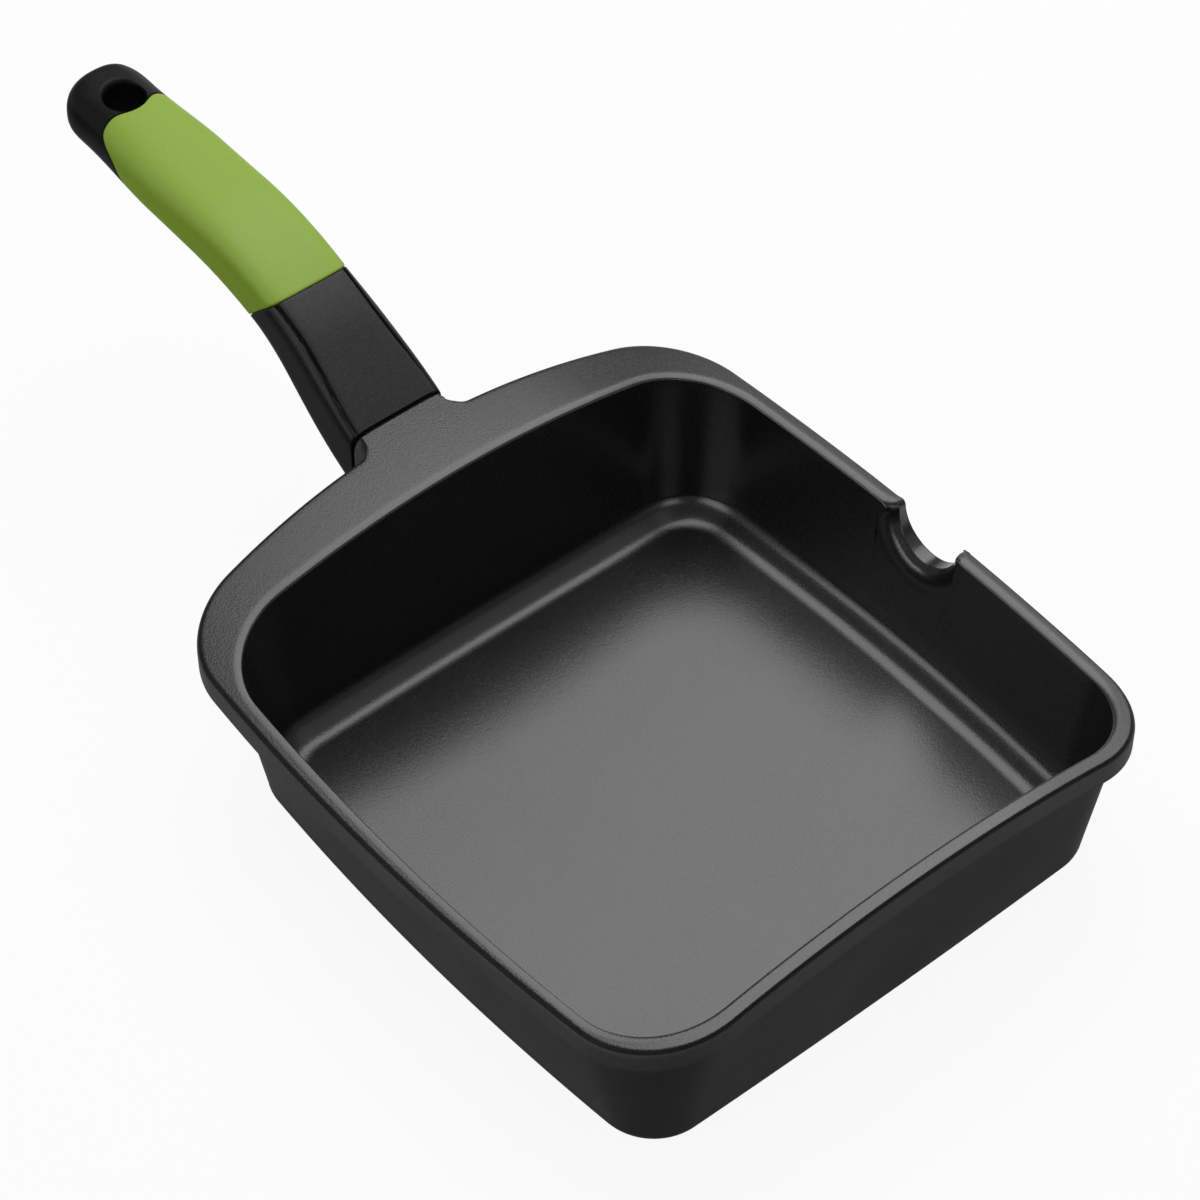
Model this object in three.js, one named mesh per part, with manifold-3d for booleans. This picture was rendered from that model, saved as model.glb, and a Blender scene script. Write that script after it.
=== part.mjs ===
// Square grill pan: a cast body that stands on z = 0, a screwed-on handle along +Y and a pour
// notch on the +X side. The rim and the handle flange lie on one cylinder, so the rim is arched.
// Sizes in millimetres.
import * as THREE from "three";
import { mergeVertices } from "three/addons/utils/BufferGeometryUtils.js";
import Module from "manifold-3d";

const wasm = await Module();
wasm.setup();

const clearance = 0.3; // left between pieces that touch

// Mouth, wall and floor of the cast body
const mouthWidth = 218.4; // inside the rim, between the middles of the +X and -X sides
const mouthLength = 220; // inside the rim, along the handle's direction
const mouthCorner = 31.6; // corner radius at the mouth
const sideRadius = 1010; // outward bow of the +X and -X sides
const endRadius = 4000; // outward bow of the other two sides
const rimHeight = 76.2; // top of the rim at x = 0
const crownRadius = 372; // cylinder that the rim and the flange lie on
const wallLean = 8; // how far the inner wall leans out between the floor fillet and the mouth
const floorThickness = 7.5;
const floorFillet = 8; // radius between floor and wall
const floorFilletAngle = THREE.MathUtils.degToRad(80); // where the fillet runs into the wall
const floorCorner = 16; // corner radius of the flat floor

// Rim, lip and handle flange
const rimWidth = 4.6;
const rimCorner = 33.4; // corner radius at the lip's outer face
const rimRound = 1.2; // rounding of the rim's inner and outer edges
const lipHeight = 9;
const lipOverhang = 3.4; // how far the lip stands out from the wall below it
const lipFillet = 3; // height of the slope under the lip
const flangeDepth = 23.6; // from the mouth to the flange's edge at the handle
const flangeRadius = 525; // bow of the flange's edge

// Outer wall, base and the plate let into it
const baseInset = 6.5; // from the mouth in to the outer wall above the base rounding
const baseRound = 6;
const baseCorner = 20.6;
const plateWidth = 150;
const plateCorner = 24;
const plateThickness = 0.9;

// Pour notch through the +X wall
const notchRadius = 14;
const notchFlare = 4.5; // added radius where the flare meets the inner wall
const notchFlareDepth = 2.5;
const notchOffset = -0.6; // from the mouth's middle towards the handle
const notchCollar = 5; // width of the thickened wall round the notch

// Handle joint: the cast stub ends on an upright face, the handle's first stretch rises from it
const risePitch = THREE.MathUtils.degToRad(33);
const stubReach = 7.4; // from the flange's edge to the joint's top edge
const stubFillet = 6.5;
const stubDrop = 0.1; // casting step between the flange's top and the stub's
const stubTopWidth = 33.4;
const jointWidth = 38.8;
const jointHeight = 23.6;
const jointSquareness = 7; // power of the section's outline: 2 is an ellipse, more is boxier
const gasketThickness = 0.8;
const gasketInset = 1.2;
const tangWidth = 15;
const tangHeight = 9;
const tangLength = 31; // from the joint's middle

// Handle path and sections, measured along the path from the joint's top edge
const riseLength = 30;
const bendRadius = 124;
const levelPitch = THREE.MathUtils.degToRad(2.9);
const handleLength = 176;
const waistAt = 57;
const tailTaper = 18.5; // from the tail's tip to where its taper ends
const tailAt = handleLength - tailTaper;
const swellShare = 0.61; // place of the widest section between waist and taper
const swellAt = THREE.MathUtils.lerp(waistAt, tailAt, swellShare);
const waistWidth = 34;
const waistHeight = 22.6;
const waistSquareness = 4.2;
const swellWidth = 35.2;
const swellHeight = 24;
const swellSquareness = 2.8;
const tailWidth = 32;
const tailHeight = 24;
const tailSquareness = 2.4;
const tailRound = 15; // length of the tail's round end, seen from above
const tailEdgeRound = 6; // rounding of the end's top and bottom edges

// Soft sleeve, hang hole and fixing
const sleeveThickness = 2;
const sleeveEdgeRound = 0.5;
const gripStart = 50.7; // the sleeve's front edge at the top of the handle
const gripSlant = 9.9; // how much further on it lies at the bottom
const tailBare = 36.2; // length of the handle beyond the sleeve, at its sides
const sleeveEnd = handleLength - tailBare;
const sleeveRake = 11.2; // the tail edge leans this far on at the top and back at the bottom
const sleeveScallop = 4.4; // dip of the tail edge in front of the hang hole
const hangHoleRadius = 7.2;
const hangHoleChamfer = 2.6;
const hangHoleInset = 21.4; // from the tail's tip to the hole's middle
const hangHoleAt = handleLength - hangHoleInset;
const screwAt = 19;
const screwRadius = 2.5;
const screwHeadRadius = 4.3;
const screwHeadCrownRadius = 3.4; // flat end of the domed head
const screwHeadHeight = 2.4;
const screwSocketRadius = 2;
const screwSocketDepth = 1.4;
const washerThickness = 0.8;
const seatWall = 2.2; // handle material between the tang's socket and the washer's seat

const mouthX = mouthWidth / 2;
const mouthY = mouthLength / 2;
const flangeY = mouthY + flangeDepth;
const handleBend = risePitch - levelPitch;

// Height of the arched rim above x.
function crown(x) {
  return rimHeight - (x * x) / (2 * crownRadius);
}

function toSolid(geometry) {
  const plain = geometry.index ? geometry.toNonIndexed() : geometry.clone();
  plain.deleteAttribute("normal");
  plain.deleteAttribute("uv");
  const merged = mergeVertices(plain, 1e-4);
  const vertProperties = merged.attributes.position.array;
  const triVerts = new Uint32Array(merged.index.array);
  return new wasm.Manifold(new wasm.Mesh({ numProp: 3, vertProperties, triVerts }));
}

function toGeometry(solid) {
  const mesh = solid.getMesh();
  const geometry = new THREE.BufferGeometry();
  geometry.setAttribute("position", new THREE.BufferAttribute(mesh.vertProperties, 3));
  geometry.setIndex(new THREE.BufferAttribute(mesh.triVerts, 1));
  geometry.computeVertexNormals();
  return geometry;
}

// Skin over rings with equal numbers of points. Its ends are closed by fans, or the last ring
// joins the first.
function loft(rings, joinEnds = false) {
  const count = rings[0].length;
  const points = rings.flat();
  const triangles = [];
  const spans = joinEnds ? rings.length : rings.length - 1;
  for (let r = 0; r < spans; r++) {
    const near = r * count;
    const far = ((r + 1) % rings.length) * count;
    for (let i = 0; i < count; i++) {
      const j = (i + 1) % count;
      triangles.push(near + i, far + i, far + j);
      triangles.push(near + i, far + j, near + j);
    }
  }
  if (!joinEnds) {
    const lastRing = (rings.length - 1) * count;
    const firstCentre = points.push(middleOf(rings[0])) - 1;
    const lastCentre = points.push(middleOf(rings.at(-1))) - 1;
    for (let i = 0; i < count; i++) {
      const j = (i + 1) % count;
      triangles.push(firstCentre, i, j);
      triangles.push(lastCentre, lastRing + j, lastRing + i);
    }
  }
  const geometry = new THREE.BufferGeometry().setFromPoints(points);
  geometry.setIndex(triangles);
  geometry.computeVertexNormals();
  return geometry;
}

function middleOf(ring) {
  const box = new THREE.Box3().setFromPoints(ring);
  return box.getCenter(new THREE.Vector3());
}

function arc(centre, radius, from, to, steps) {
  return Array.from({ length: steps }, (_, i) => {
    const angle = from + ((to - from) * i) / steps;
    return new THREE.Vector2(centre.x + radius * Math.cos(angle), centre.y + radius * Math.sin(angle));
  });
}

// Centre of the corner circle, on the +X side, that touches a side bow and an end bow from inside.
function cornerCentre(side, sideReach, end, endReach, towards) {
  const apart = end.clone().sub(side);
  const distance = apart.length();
  const along = (sideReach ** 2 - endReach ** 2 + distance ** 2) / (2 * distance);
  const across = Math.sqrt(sideReach ** 2 - along ** 2);
  const unit = apart.divideScalar(distance);
  const square = new THREE.Vector2(unit.y, -unit.x).multiplyScalar(towards * across);
  return side.clone().addScaledVector(unit, along).add(square);
}

// Closed outline with bowed sides and round corners, counter-clockwise from the front's middle.
function outline({ halfWidth, front, back, backRadius = endRadius, corner }) {
  const side = new THREE.Vector2(halfWidth - sideRadius, (front + back) / 2);
  const frontEnd = new THREE.Vector2(0, front + endRadius);
  const backEnd = new THREE.Vector2(0, back - backRadius);
  const reach = sideRadius - corner;
  const frontCorner = cornerCentre(side, reach, frontEnd, endRadius - corner, 1);
  const backCorner = cornerCentre(side, reach, backEnd, backRadius - corner, -1);
  const angleTo = (from, to) => Math.atan2(to.y - from.y, to.x - from.x);
  const frontTurn = angleTo(frontEnd, frontCorner);
  const sideStart = angleTo(side, frontCorner);
  const sideStop = angleTo(side, backCorner);
  const backTurn = angleTo(backEnd, backCorner);
  const right = [
    ...arc(frontEnd, endRadius, -Math.PI / 2, frontTurn, 7),
    ...arc(frontCorner, corner, frontTurn, sideStart, 8),
    ...arc(side, sideRadius, sideStart, sideStop, 14),
    ...arc(backCorner, corner, sideStop, backTurn, 8),
    ...arc(backEnd, backRadius, backTurn, Math.PI / 2, 7),
  ];
  const backMiddle = new THREE.Vector2(0, back);
  const left = right.slice(1).reverse();
  return [...right, backMiddle, ...left.map((p) => new THREE.Vector2(-p.x, p.y))];
}

// Outline at an offset out from the mouth, the same on all four sides.
function mouthOutline(offset, corner) {
  const front = -(mouthY + offset);
  return outline({ halfWidth: mouthX + offset, front, back: mouthY + offset, corner });
}

// Outline of the lip and the flange, drawn in by an inset.
function lipOutline(inset) {
  return outline({
    halfWidth: mouthX + rimWidth - inset,
    front: -(mouthY + rimWidth - inset),
    back: flangeY - inset,
    backRadius: flangeRadius - inset,
    corner: rimCorner - inset,
  });
}

function plateOutline(offset) {
  const half = plateWidth / 2 + offset;
  return outline({ halfWidth: half, front: -half, back: half, corner: plateCorner + offset });
}

const level = (points, z) => points.map((p) => new THREE.Vector3(p.x, p.y, z));
const arched = (points, drop) => points.map((p) => new THREE.Vector3(p.x, p.y, crown(p.x) - drop));

const filletTop = floorThickness + floorFillet * (1 - Math.cos(floorFilletAngle));
const wallTopOffset = rimWidth - lipOverhang; // outer wall under the lip, out from the mouth

// The casting's surface from the floor's edge, over the rim and down to the base's recess.
function bodyRings() {
  const rings = [];
  const filletSteps = 6;
  for (let i = 0; i <= filletSteps; i++) {
    const angle = (floorFilletAngle * i) / filletSteps;
    const out = floorFillet * (Math.sin(angle) - Math.sin(floorFilletAngle));
    const corner = floorCorner + floorFillet * Math.sin(angle);
    const z = floorThickness + floorFillet * (1 - Math.cos(angle));
    rings.push(level(mouthOutline(out - wallLean, corner), z));
  }
  const roundSteps = 3;
  for (let i = 0; i <= roundSteps; i++) {
    const angle = (Math.PI / 2) * (i / roundSteps);
    const out = rimRound * (1 - Math.cos(angle));
    rings.push(arched(mouthOutline(out, mouthCorner + out), rimRound * (1 - Math.sin(angle))));
  }
  for (let i = 0; i <= roundSteps; i++) {
    const angle = (Math.PI / 2) * (i / roundSteps);
    rings.push(arched(lipOutline(rimRound * (1 - Math.sin(angle))), rimRound * (1 - Math.cos(angle))));
  }
  rings.push(arched(lipOutline(0), lipHeight));
  rings.push(arched(mouthOutline(wallTopOffset, mouthCorner), lipHeight + lipFillet));
  const baseSteps = 4;
  for (let i = 0; i <= baseSteps; i++) {
    const angle = (Math.PI / 2) * (i / baseSteps);
    const inset = baseRound * (1 - Math.cos(angle));
    const z = baseRound * (1 - Math.sin(angle));
    rings.push(level(mouthOutline(-baseInset - inset, baseCorner - inset), z));
  }
  rings.push(level(plateOutline(clearance), 0));
  rings.push(level(plateOutline(clearance), plateThickness + clearance));
  return rings;
}

// Frame of the handle: its origin lies square below the joint's top edge, half a section down, and
// +Y runs along the first stretch.
const handleFrame = new THREE.Group();
const jointTop = flangeY + stubReach;
handleFrame.position.set(
  0,
  jointTop + (jointHeight / 2) * Math.sin(risePitch),
  rimHeight - stubDrop - (jointHeight / 2) * Math.cos(risePitch),
);
handleFrame.rotation.x = risePitch;
handleFrame.updateMatrix();

const alongHandle = (geometry) => geometry.applyMatrix4(handleFrame.matrix);

function superellipse(halfWidth, halfHeight, power, angle) {
  const bend = (v) => Math.sign(v) * Math.abs(v) ** (2 / power);
  return new THREE.Vector2(halfWidth * bend(Math.cos(angle)), halfHeight * bend(Math.sin(angle)));
}

// Prism over a shape in the handle's or the pan's YZ plane, as wide as asked and centred on x = 0.
function prismAcross(points, width) {
  const shape = new THREE.Shape(points.map(([y, z]) => new THREE.Vector2(y, z)));
  const geometry = new THREE.ExtrudeGeometry(shape, { depth: width, bevelEnabled: false });
  const turn = new THREE.Matrix4().makeBasis(
    new THREE.Vector3(0, 1, 0),
    new THREE.Vector3(0, 0, 1),
    new THREE.Vector3(1, 0, 0),
  );
  return geometry.applyMatrix4(turn).translate(-width / 2, 0, 0);
}

// Middle of the cast wall on the handle side, as a line y = start + slope * z.
function wallMiddle() {
  const innerLow = mouthY - wallLean;
  const innerSlope = wallLean / (rimHeight - rimRound - filletTop);
  const outerTop = rimHeight - lipHeight - lipFillet;
  const outerLow = mouthY - baseInset;
  const outerSlope = (baseInset + wallTopOffset) / (outerTop - baseRound);
  const start = (innerLow - innerSlope * filletTop + outerLow - outerSlope * baseRound) / 2;
  return { start, slope: (innerSlope + outerSlope) / 2 };
}

// Cast stub: the handle's section carried back to the wall, with a flush top and side fillets.
function stubSolid() {
  const root = wallMiddle();
  const rootAt = (z) => [root.start + root.slope * z, z];
  const reach = 2 * jointHeight;
  const above = rimHeight + reach;
  const between = [rootAt(0), [jointTop, 0], [jointTop, above], rootAt(above)];
  const span = toSolid(prismAcross(between, 4 * jointWidth));

  const half = stubTopWidth / 2;
  const fillet = Math.min(stubFillet, stubReach);
  const shoulder = half + fillet;
  const edge = flangeY - shoulder ** 2 / (2 * flangeRadius);
  const plan = new THREE.Shape();
  plan.moveTo(-shoulder, mouthY + rimWidth);
  plan.lineTo(shoulder, mouthY + rimWidth);
  plan.lineTo(shoulder, edge);
  plan.absarc(shoulder, edge + fillet, fillet, -Math.PI / 2, -Math.PI, true);
  plan.lineTo(half, flangeY + reach);
  plan.lineTo(-half, flangeY + reach);
  plan.lineTo(-half, edge + fillet);
  plan.absarc(-shoulder, edge + fillet, fillet, 0, -Math.PI / 2, true);
  const planDepth = 2 * rimHeight;
  const planForm = new THREE.ExtrudeGeometry(plan, {
    depth: planDepth,
    bevelEnabled: false,
    curveSegments: 8,
  });

  // Slab as thick as the lip, under the arched surface.
  const steps = 12;
  const slabHalf = shoulder + fillet;
  const across = Array.from({ length: steps + 1 }, (_, i) => slabHalf * ((2 * i) / steps - 1));
  const top = across.map((x) => new THREE.Vector2(x, crown(x) - stubDrop));
  const bottom = across.map((x) => new THREE.Vector2(x, crown(x) - lipHeight)).reverse();
  const slabLength = flangeDepth + 2 * reach;
  const slab = new THREE.ExtrudeGeometry(new THREE.Shape([...top, ...bottom].reverse()), {
    depth: slabLength,
    bevelEnabled: false,
  });
  slab.rotateX(Math.PI / 2).translate(0, mouthY + slabLength, 0);

  const corners = 32;
  const section = Array.from({ length: corners }, (_, i) =>
    superellipse(jointWidth / 2, jointHeight / 2, jointSquareness, (2 * Math.PI * i) / corners),
  );
  const barLength = 3 * flangeDepth;
  const bar = new THREE.ExtrudeGeometry(new THREE.Shape(section), {
    depth: 2 * barLength,
    bevelEnabled: false,
  });
  bar.rotateX(Math.PI / 2).translate(0, barLength, 0);

  const shelf = toSolid(planForm).intersect(toSolid(slab));
  return toSolid(alongHandle(bar)).add(shelf).intersect(span);
}

function tangSolid(offset, start) {
  const length = tangLength + offset - start;
  const box = new THREE.BoxGeometry(tangWidth + 2 * offset, length, tangHeight + 2 * offset);
  return box.translate(0, start + length / 2, 0);
}

// Revolved shape on the handle's cross axis at a place along the handle; profile as [radius, height].
function crossLathe(profile, at, segments) {
  const points = profile.map(([radius, height]) => new THREE.Vector2(radius, height));
  const geometry = new THREE.LatheGeometry(points, segments);
  return geometry.rotateX(Math.PI / 2).translate(0, at, 0);
}

function notchCutter() {
  const flareEnd = mouthX - rimRound;
  const flareStart = flareEnd - 2 * notchFlareDepth;
  const outer = mouthX + 2 * rimWidth;
  const profile = [
    new THREE.Vector2(0, flareStart),
    new THREE.Vector2(notchRadius + 2 * notchFlare, flareStart),
    new THREE.Vector2(notchRadius, flareEnd),
    new THREE.Vector2(notchRadius, outer),
    new THREE.Vector2(0, outer),
  ];
  const cutter = new THREE.LatheGeometry(profile, 48);
  return cutter.rotateZ(-Math.PI / 2).translate(0, notchOffset, crown(mouthX + rimWidth / 2));
}

// Wall round the notch, as thick as the lip above it.
function notchCollarSolid() {
  const reach = notchRadius + notchCollar;
  const inner = mouthX + clearance;
  const outer = mouthX + rimWidth - clearance;
  const profile = [
    new THREE.Vector2(0, inner),
    new THREE.Vector2(reach, inner),
    new THREE.Vector2(reach, outer),
    new THREE.Vector2(0, outer),
  ];
  const disc = new THREE.LatheGeometry(profile, 48);
  disc.rotateZ(-Math.PI / 2).translate(0, notchOffset, crown(mouthX + rimWidth / 2));
  const below = new THREE.BoxGeometry(4 * mouthX, 4 * reach, 4 * reach);
  below.translate(mouthX, notchOffset, crown(mouthX + rimWidth) - lipHeight / 2 - 2 * reach);
  return toSolid(disc).intersect(toSolid(below));
}

function panBodyGeometry() {
  const tang = toSolid(alongHandle(tangSolid(0, -jointHeight)));
  const tap = crossLathe(
    [
      [0, -tangHeight],
      [screwRadius + clearance, -tangHeight],
      [screwRadius + clearance, tangHeight],
      [0, tangHeight],
    ],
    screwAt,
    24,
  );
  const cast = toSolid(loft(bodyRings())).add(notchCollarSolid()).add(stubSolid()).add(tang);
  return toGeometry(cast.subtract(toSolid(alongHandle(tap))).subtract(toSolid(notchCutter())));
}

// Handle section at a place along the path, eased between the named stations.
const stations = [
  { at: 0, width: jointWidth, height: jointHeight, power: jointSquareness },
  { at: waistAt, width: waistWidth, height: waistHeight, power: waistSquareness },
  { at: swellAt, width: swellWidth, height: swellHeight, power: swellSquareness },
  { at: tailAt, width: tailWidth, height: tailHeight, power: tailSquareness },
];

function sectionAt(s) {
  const next = stations.findIndex((station) => station.at > Math.max(s, 0));
  if (next === -1) return stations.at(-1);
  const a = stations[next - 1];
  const b = stations[next];
  const t = THREE.MathUtils.smoothstep(s, a.at, b.at);
  const blend = (key) => THREE.MathUtils.lerp(a[key], b[key], t);
  return { width: blend("width"), height: blend("height"), power: blend("power") };
}

// Path in the handle's own frame: straight, then a downward bend, then straight again.
function pathAt(s) {
  const bent = Math.min(Math.max(s - riseLength, 0), bendRadius * handleBend);
  const turn = bent / bendRadius;
  const straight = Math.min(s, riseLength);
  const rest = Math.max(s - riseLength - bendRadius * handleBend, 0);
  const y = straight + bendRadius * Math.sin(turn) + rest * Math.cos(turn);
  const z = -bendRadius * (1 - Math.cos(turn)) - rest * Math.sin(turn);
  return { y, z, turn };
}

const around = 40; // points on a handle ring

// Point of the handle's surface at a place along it and an angle round it, drawn in by an inset
// and then shrunk in width and height.
function handlePoint(s, angle, inset, shrink) {
  const { width, height, power } = sectionAt(s);
  const flat = superellipse(width / 2 - inset, height / 2 - inset, power, angle).multiply(shrink);
  const { y, z, turn } = pathAt(s);
  return new THREE.Vector3(flat.x, y + flat.y * Math.sin(turn), z + flat.y * Math.cos(turn));
}

// Ring of the handle; the place may depend on the angle.
function handleRing(place, inset, shrink = new THREE.Vector2(1, 1)) {
  return Array.from({ length: around }, (_, i) => {
    const angle = (2 * Math.PI * i) / around;
    return handlePoint(place(angle), angle, inset, shrink);
  });
}

const at = (s) => () => s;
// Height of a section's point, from -1 at its bottom to 1 at its top.
const lift = (angle, power) => superellipse(1, 1, power, angle).y;
const sleeveFront = (angle) => gripStart + (gripSlant * (1 - lift(angle, waistSquareness))) / 2;
function sleeveEdge(angle) {
  const dip = sleeveScallop * Math.max(Math.sin(angle), 0) ** 14;
  return sleeveEnd + sleeveRake * lift(angle, tailSquareness) - dip;
}
const sleeveSteps = 16;
// Places between the sleeve's front and tail edges, each edge moved on by the amount given.
const underSleeve = (share, front, tail) => (angle) =>
  THREE.MathUtils.lerp(sleeveFront(angle) + front, sleeveEdge(angle) + tail, share);

// Place along the handle of the upright joint face at an angle round the section, moved out square
// to the face by an offset.
function jointFace(angle, inset, offset) {
  const { y } = superellipse(jointWidth / 2 - inset, jointHeight / 2 - inset, jointSquareness, angle);
  return (y - jointHeight / 2) * Math.tan(risePitch) + offset / Math.cos(risePitch);
}
const coreStart = (angle) => jointFace(angle, 0, gasketThickness + 2 * clearance);

function handleCoreGeometry() {
  const rings = [];
  const frontSteps = 8;
  for (let i = 0; i <= frontSteps; i++) {
    const share = i / frontSteps;
    const place = (angle) => THREE.MathUtils.lerp(coreStart(angle), sleeveFront(angle), share);
    rings.push(handleRing(place, 0));
  }
  for (let i = 0; i <= sleeveSteps; i++) {
    rings.push(handleRing(underSleeve(i / sleeveSteps, 0, 0), sleeveThickness + clearance));
  }
  const tailSteps = 6;
  const roundStart = handleLength - tailRound;
  for (let i = 0; i <= tailSteps; i++) {
    rings.push(handleRing((angle) => THREE.MathUtils.lerp(sleeveEdge(angle), roundStart, i / tailSteps), 0));
  }
  const roundSteps = 8;
  for (let i = 1; i < roundSteps; i++) {
    const share = Math.sin((Math.PI / 2) * (i / roundSteps));
    const edgeShare = Math.max(1 - (tailRound * (1 - share)) / tailEdgeRound, 0);
    const shrink = new THREE.Vector2(Math.sqrt(1 - share ** 2), Math.sqrt(1 - edgeShare ** 2));
    rings.push(handleRing(at(roundStart + tailRound * share), 0, shrink));
  }
  const socket = tangSolid(clearance, -jointHeight);
  return toGeometry(
    toSolid(loft(rings))
      .subtract(toSolid(socket))
      .subtract(toSolid(screwPassage()))
      .subtract(toSolid(hangHole())),
  );
}

// Washer's seat and the places of the washer and the screw's head, down from the handle's axis.
const seat = -(tangHeight / 2 + clearance + seatWall);
const washerTop = seat - clearance;
const headTop = washerTop - washerThickness - clearance;

function screwPassage() {
  const bore = screwHeadRadius + 2 * clearance;
  const below = -jointHeight;
  return crossLathe(
    [
      [0, below],
      [bore, below],
      [bore, seat],
      [screwRadius + clearance, seat],
      [screwRadius + clearance, 0],
      [0, 0],
    ],
    screwAt,
    32,
  );
}

function hangHole() {
  const { y, z, turn } = pathAt(hangHoleAt);
  const { height } = sectionAt(hangHoleAt);
  const half = height / 2;
  const wide = hangHoleRadius + 2 * hangHoleChamfer;
  const profile = [
    [0, -half - hangHoleChamfer],
    [wide, -half - hangHoleChamfer],
    [hangHoleRadius, -half + hangHoleChamfer],
    [hangHoleRadius, half - hangHoleChamfer],
    [wide, half + hangHoleChamfer],
    [0, half + hangHoleChamfer],
  ];
  return crossLathe(profile, 0, 40).rotateX(-turn).translate(0, y, z);
}

function gripSleeveGeometry() {
  const rings = [];
  rings.push(handleRing(underSleeve(0, clearance, -clearance), sleeveEdgeRound));
  for (let i = 0; i <= sleeveSteps; i++) {
    const edge = clearance + sleeveEdgeRound;
    rings.push(handleRing(underSleeve(i / sleeveSteps, edge, -edge), 0));
  }
  rings.push(handleRing(underSleeve(1, clearance, -clearance), sleeveEdgeRound));
  for (let i = sleeveSteps; i >= 0; i--) {
    rings.push(handleRing(underSleeve(i / sleeveSteps, clearance, -clearance), sleeveThickness));
  }
  return toGeometry(toSolid(loft(rings, true)));
}

function gasketGeometry() {
  const rings = [];
  for (const offset of [clearance, clearance + gasketThickness]) {
    rings.push(handleRing((angle) => jointFace(angle, gasketInset, offset), gasketInset));
  }
  return toGeometry(toSolid(loft(rings)).subtract(toSolid(tangSolid(clearance, -jointHeight))));
}

function screwGeometry() {
  const headBottom = headTop - screwHeadHeight;
  const shank = crossLathe(
    [
      [0, headBottom],
      [screwHeadCrownRadius, headBottom],
      [screwHeadRadius, headBottom + screwHeadHeight / 3],
      [screwHeadRadius, headTop],
      [screwRadius, headTop],
      [screwRadius, tangHeight / 2],
      [0, tangHeight / 2],
    ],
    screwAt,
    24,
  );
  const driver = new THREE.CylinderGeometry(screwSocketRadius, screwSocketRadius, 2 * screwSocketDepth, 6);
  driver.rotateX(Math.PI / 2).translate(0, screwAt, headBottom);
  return toGeometry(toSolid(shank).subtract(toSolid(driver)));
}

// Split spring washer: a flat ring with a narrow cut.
function washerGeometry() {
  const inner = screwRadius + clearance;
  const outer = screwHeadRadius - clearance;
  const bottom = washerTop - washerThickness;
  const ring = crossLathe(
    [
      [inner, bottom],
      [outer, bottom],
      [outer, washerTop],
      [inner, washerTop],
      [inner, bottom],
    ],
    screwAt,
    28,
  );
  const split = new THREE.BoxGeometry(2 * outer, 2 * clearance, 4 * washerThickness);
  split.translate(outer, screwAt, washerTop - washerThickness / 2);
  return toGeometry(toSolid(ring).subtract(toSolid(split)));
}

function piece(name, geometry, color, roughness, metalness) {
  const mesh = new THREE.Mesh(geometry, new THREE.MeshStandardMaterial({ color, roughness, metalness }));
  mesh.name = name;
  return mesh;
}

const pan = new THREE.Group();
pan.add(piece("pan_body", panBodyGeometry(), 0x343434, 0.45, 0.1));
const plate = loft([plateThickness, 0].map((z) => level(plateOutline(0), z)));
pan.add(piece("induction_plate", plate, 0xb9babb, 0.35, 1));

handleFrame.add(piece("joint_gasket", gasketGeometry(), 0x0c0c0c, 0.8, 0));
handleFrame.add(piece("handle_core", handleCoreGeometry(), 0x2b2b2c, 0.5, 0));
handleFrame.add(piece("grip_sleeve", gripSleeveGeometry(), 0x8cae49, 0.6, 0));
handleFrame.add(piece("handle_screw", screwGeometry(), 0xa9a9aa, 0.3, 1));
handleFrame.add(piece("lock_washer", washerGeometry(), 0x9c9d9e, 0.35, 1));
pan.add(handleFrame);

export default pan;
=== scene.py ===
import math
import bmesh
import bpy
import numpy as np
from mathutils import Matrix, Vector


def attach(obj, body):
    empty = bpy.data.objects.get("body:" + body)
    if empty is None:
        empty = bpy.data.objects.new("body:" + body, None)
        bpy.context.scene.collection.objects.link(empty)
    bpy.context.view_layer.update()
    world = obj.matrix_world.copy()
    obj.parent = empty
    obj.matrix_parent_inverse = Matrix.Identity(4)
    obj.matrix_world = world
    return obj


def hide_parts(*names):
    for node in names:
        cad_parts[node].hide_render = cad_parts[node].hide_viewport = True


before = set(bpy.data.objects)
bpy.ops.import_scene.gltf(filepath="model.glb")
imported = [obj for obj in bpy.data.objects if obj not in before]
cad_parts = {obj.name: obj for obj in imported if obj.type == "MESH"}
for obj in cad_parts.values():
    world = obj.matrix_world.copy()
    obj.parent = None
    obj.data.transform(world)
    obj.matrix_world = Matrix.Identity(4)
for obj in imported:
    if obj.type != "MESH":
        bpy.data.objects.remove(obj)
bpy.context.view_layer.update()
scene = bpy.context.scene
mm = 0.001
print("frame:", ", ".join(sorted(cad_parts)))


# camera

photoCamera = {
    "place": (-0.55072, -0.61700, 0.99343),
    "tilt": 42.825,     # degrees up from straight down
    "turn": -40.105,    # degrees about z
    "lens": 117.576,
    "sensor": 36,
}


def addCamera(c):
    data = bpy.data.cameras.new("photoCamera")
    data.lens = c["lens"]
    data.sensor_width = c["sensor"]
    data.clip_start = 0.01
    data.clip_end = 50
    cam = bpy.data.objects.new("photoCamera", data)
    cam.location = c["place"]
    cam.rotation_euler = (math.radians(c["tilt"]), 0, math.radians(c["turn"]))
    scene.collection.objects.link(cam)
    scene.camera = cam


addCamera(photoCamera)


# surfaces

def ease(t):
    # 3t^2 - 2t^3, flat at both ends
    t = np.clip(t, 0, 1)
    return t * t * (3 - 2 * t)


def part(a, b, t):
    # straight way from a to b
    return a + (b - a) * t


def stretch(a, b, count):
    # evenly from a, stopping one step short of b
    return a + (b - a) * np.arange(count) / count


def quarterTurn(count):
    # angles evenly from 0 to a right angle
    return np.linspace(0, math.pi / 2, count)


def pile(*coordinates):
    # points from coordinates given apart
    return np.stack(np.broadcast_arrays(*coordinates), -1)


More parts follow.
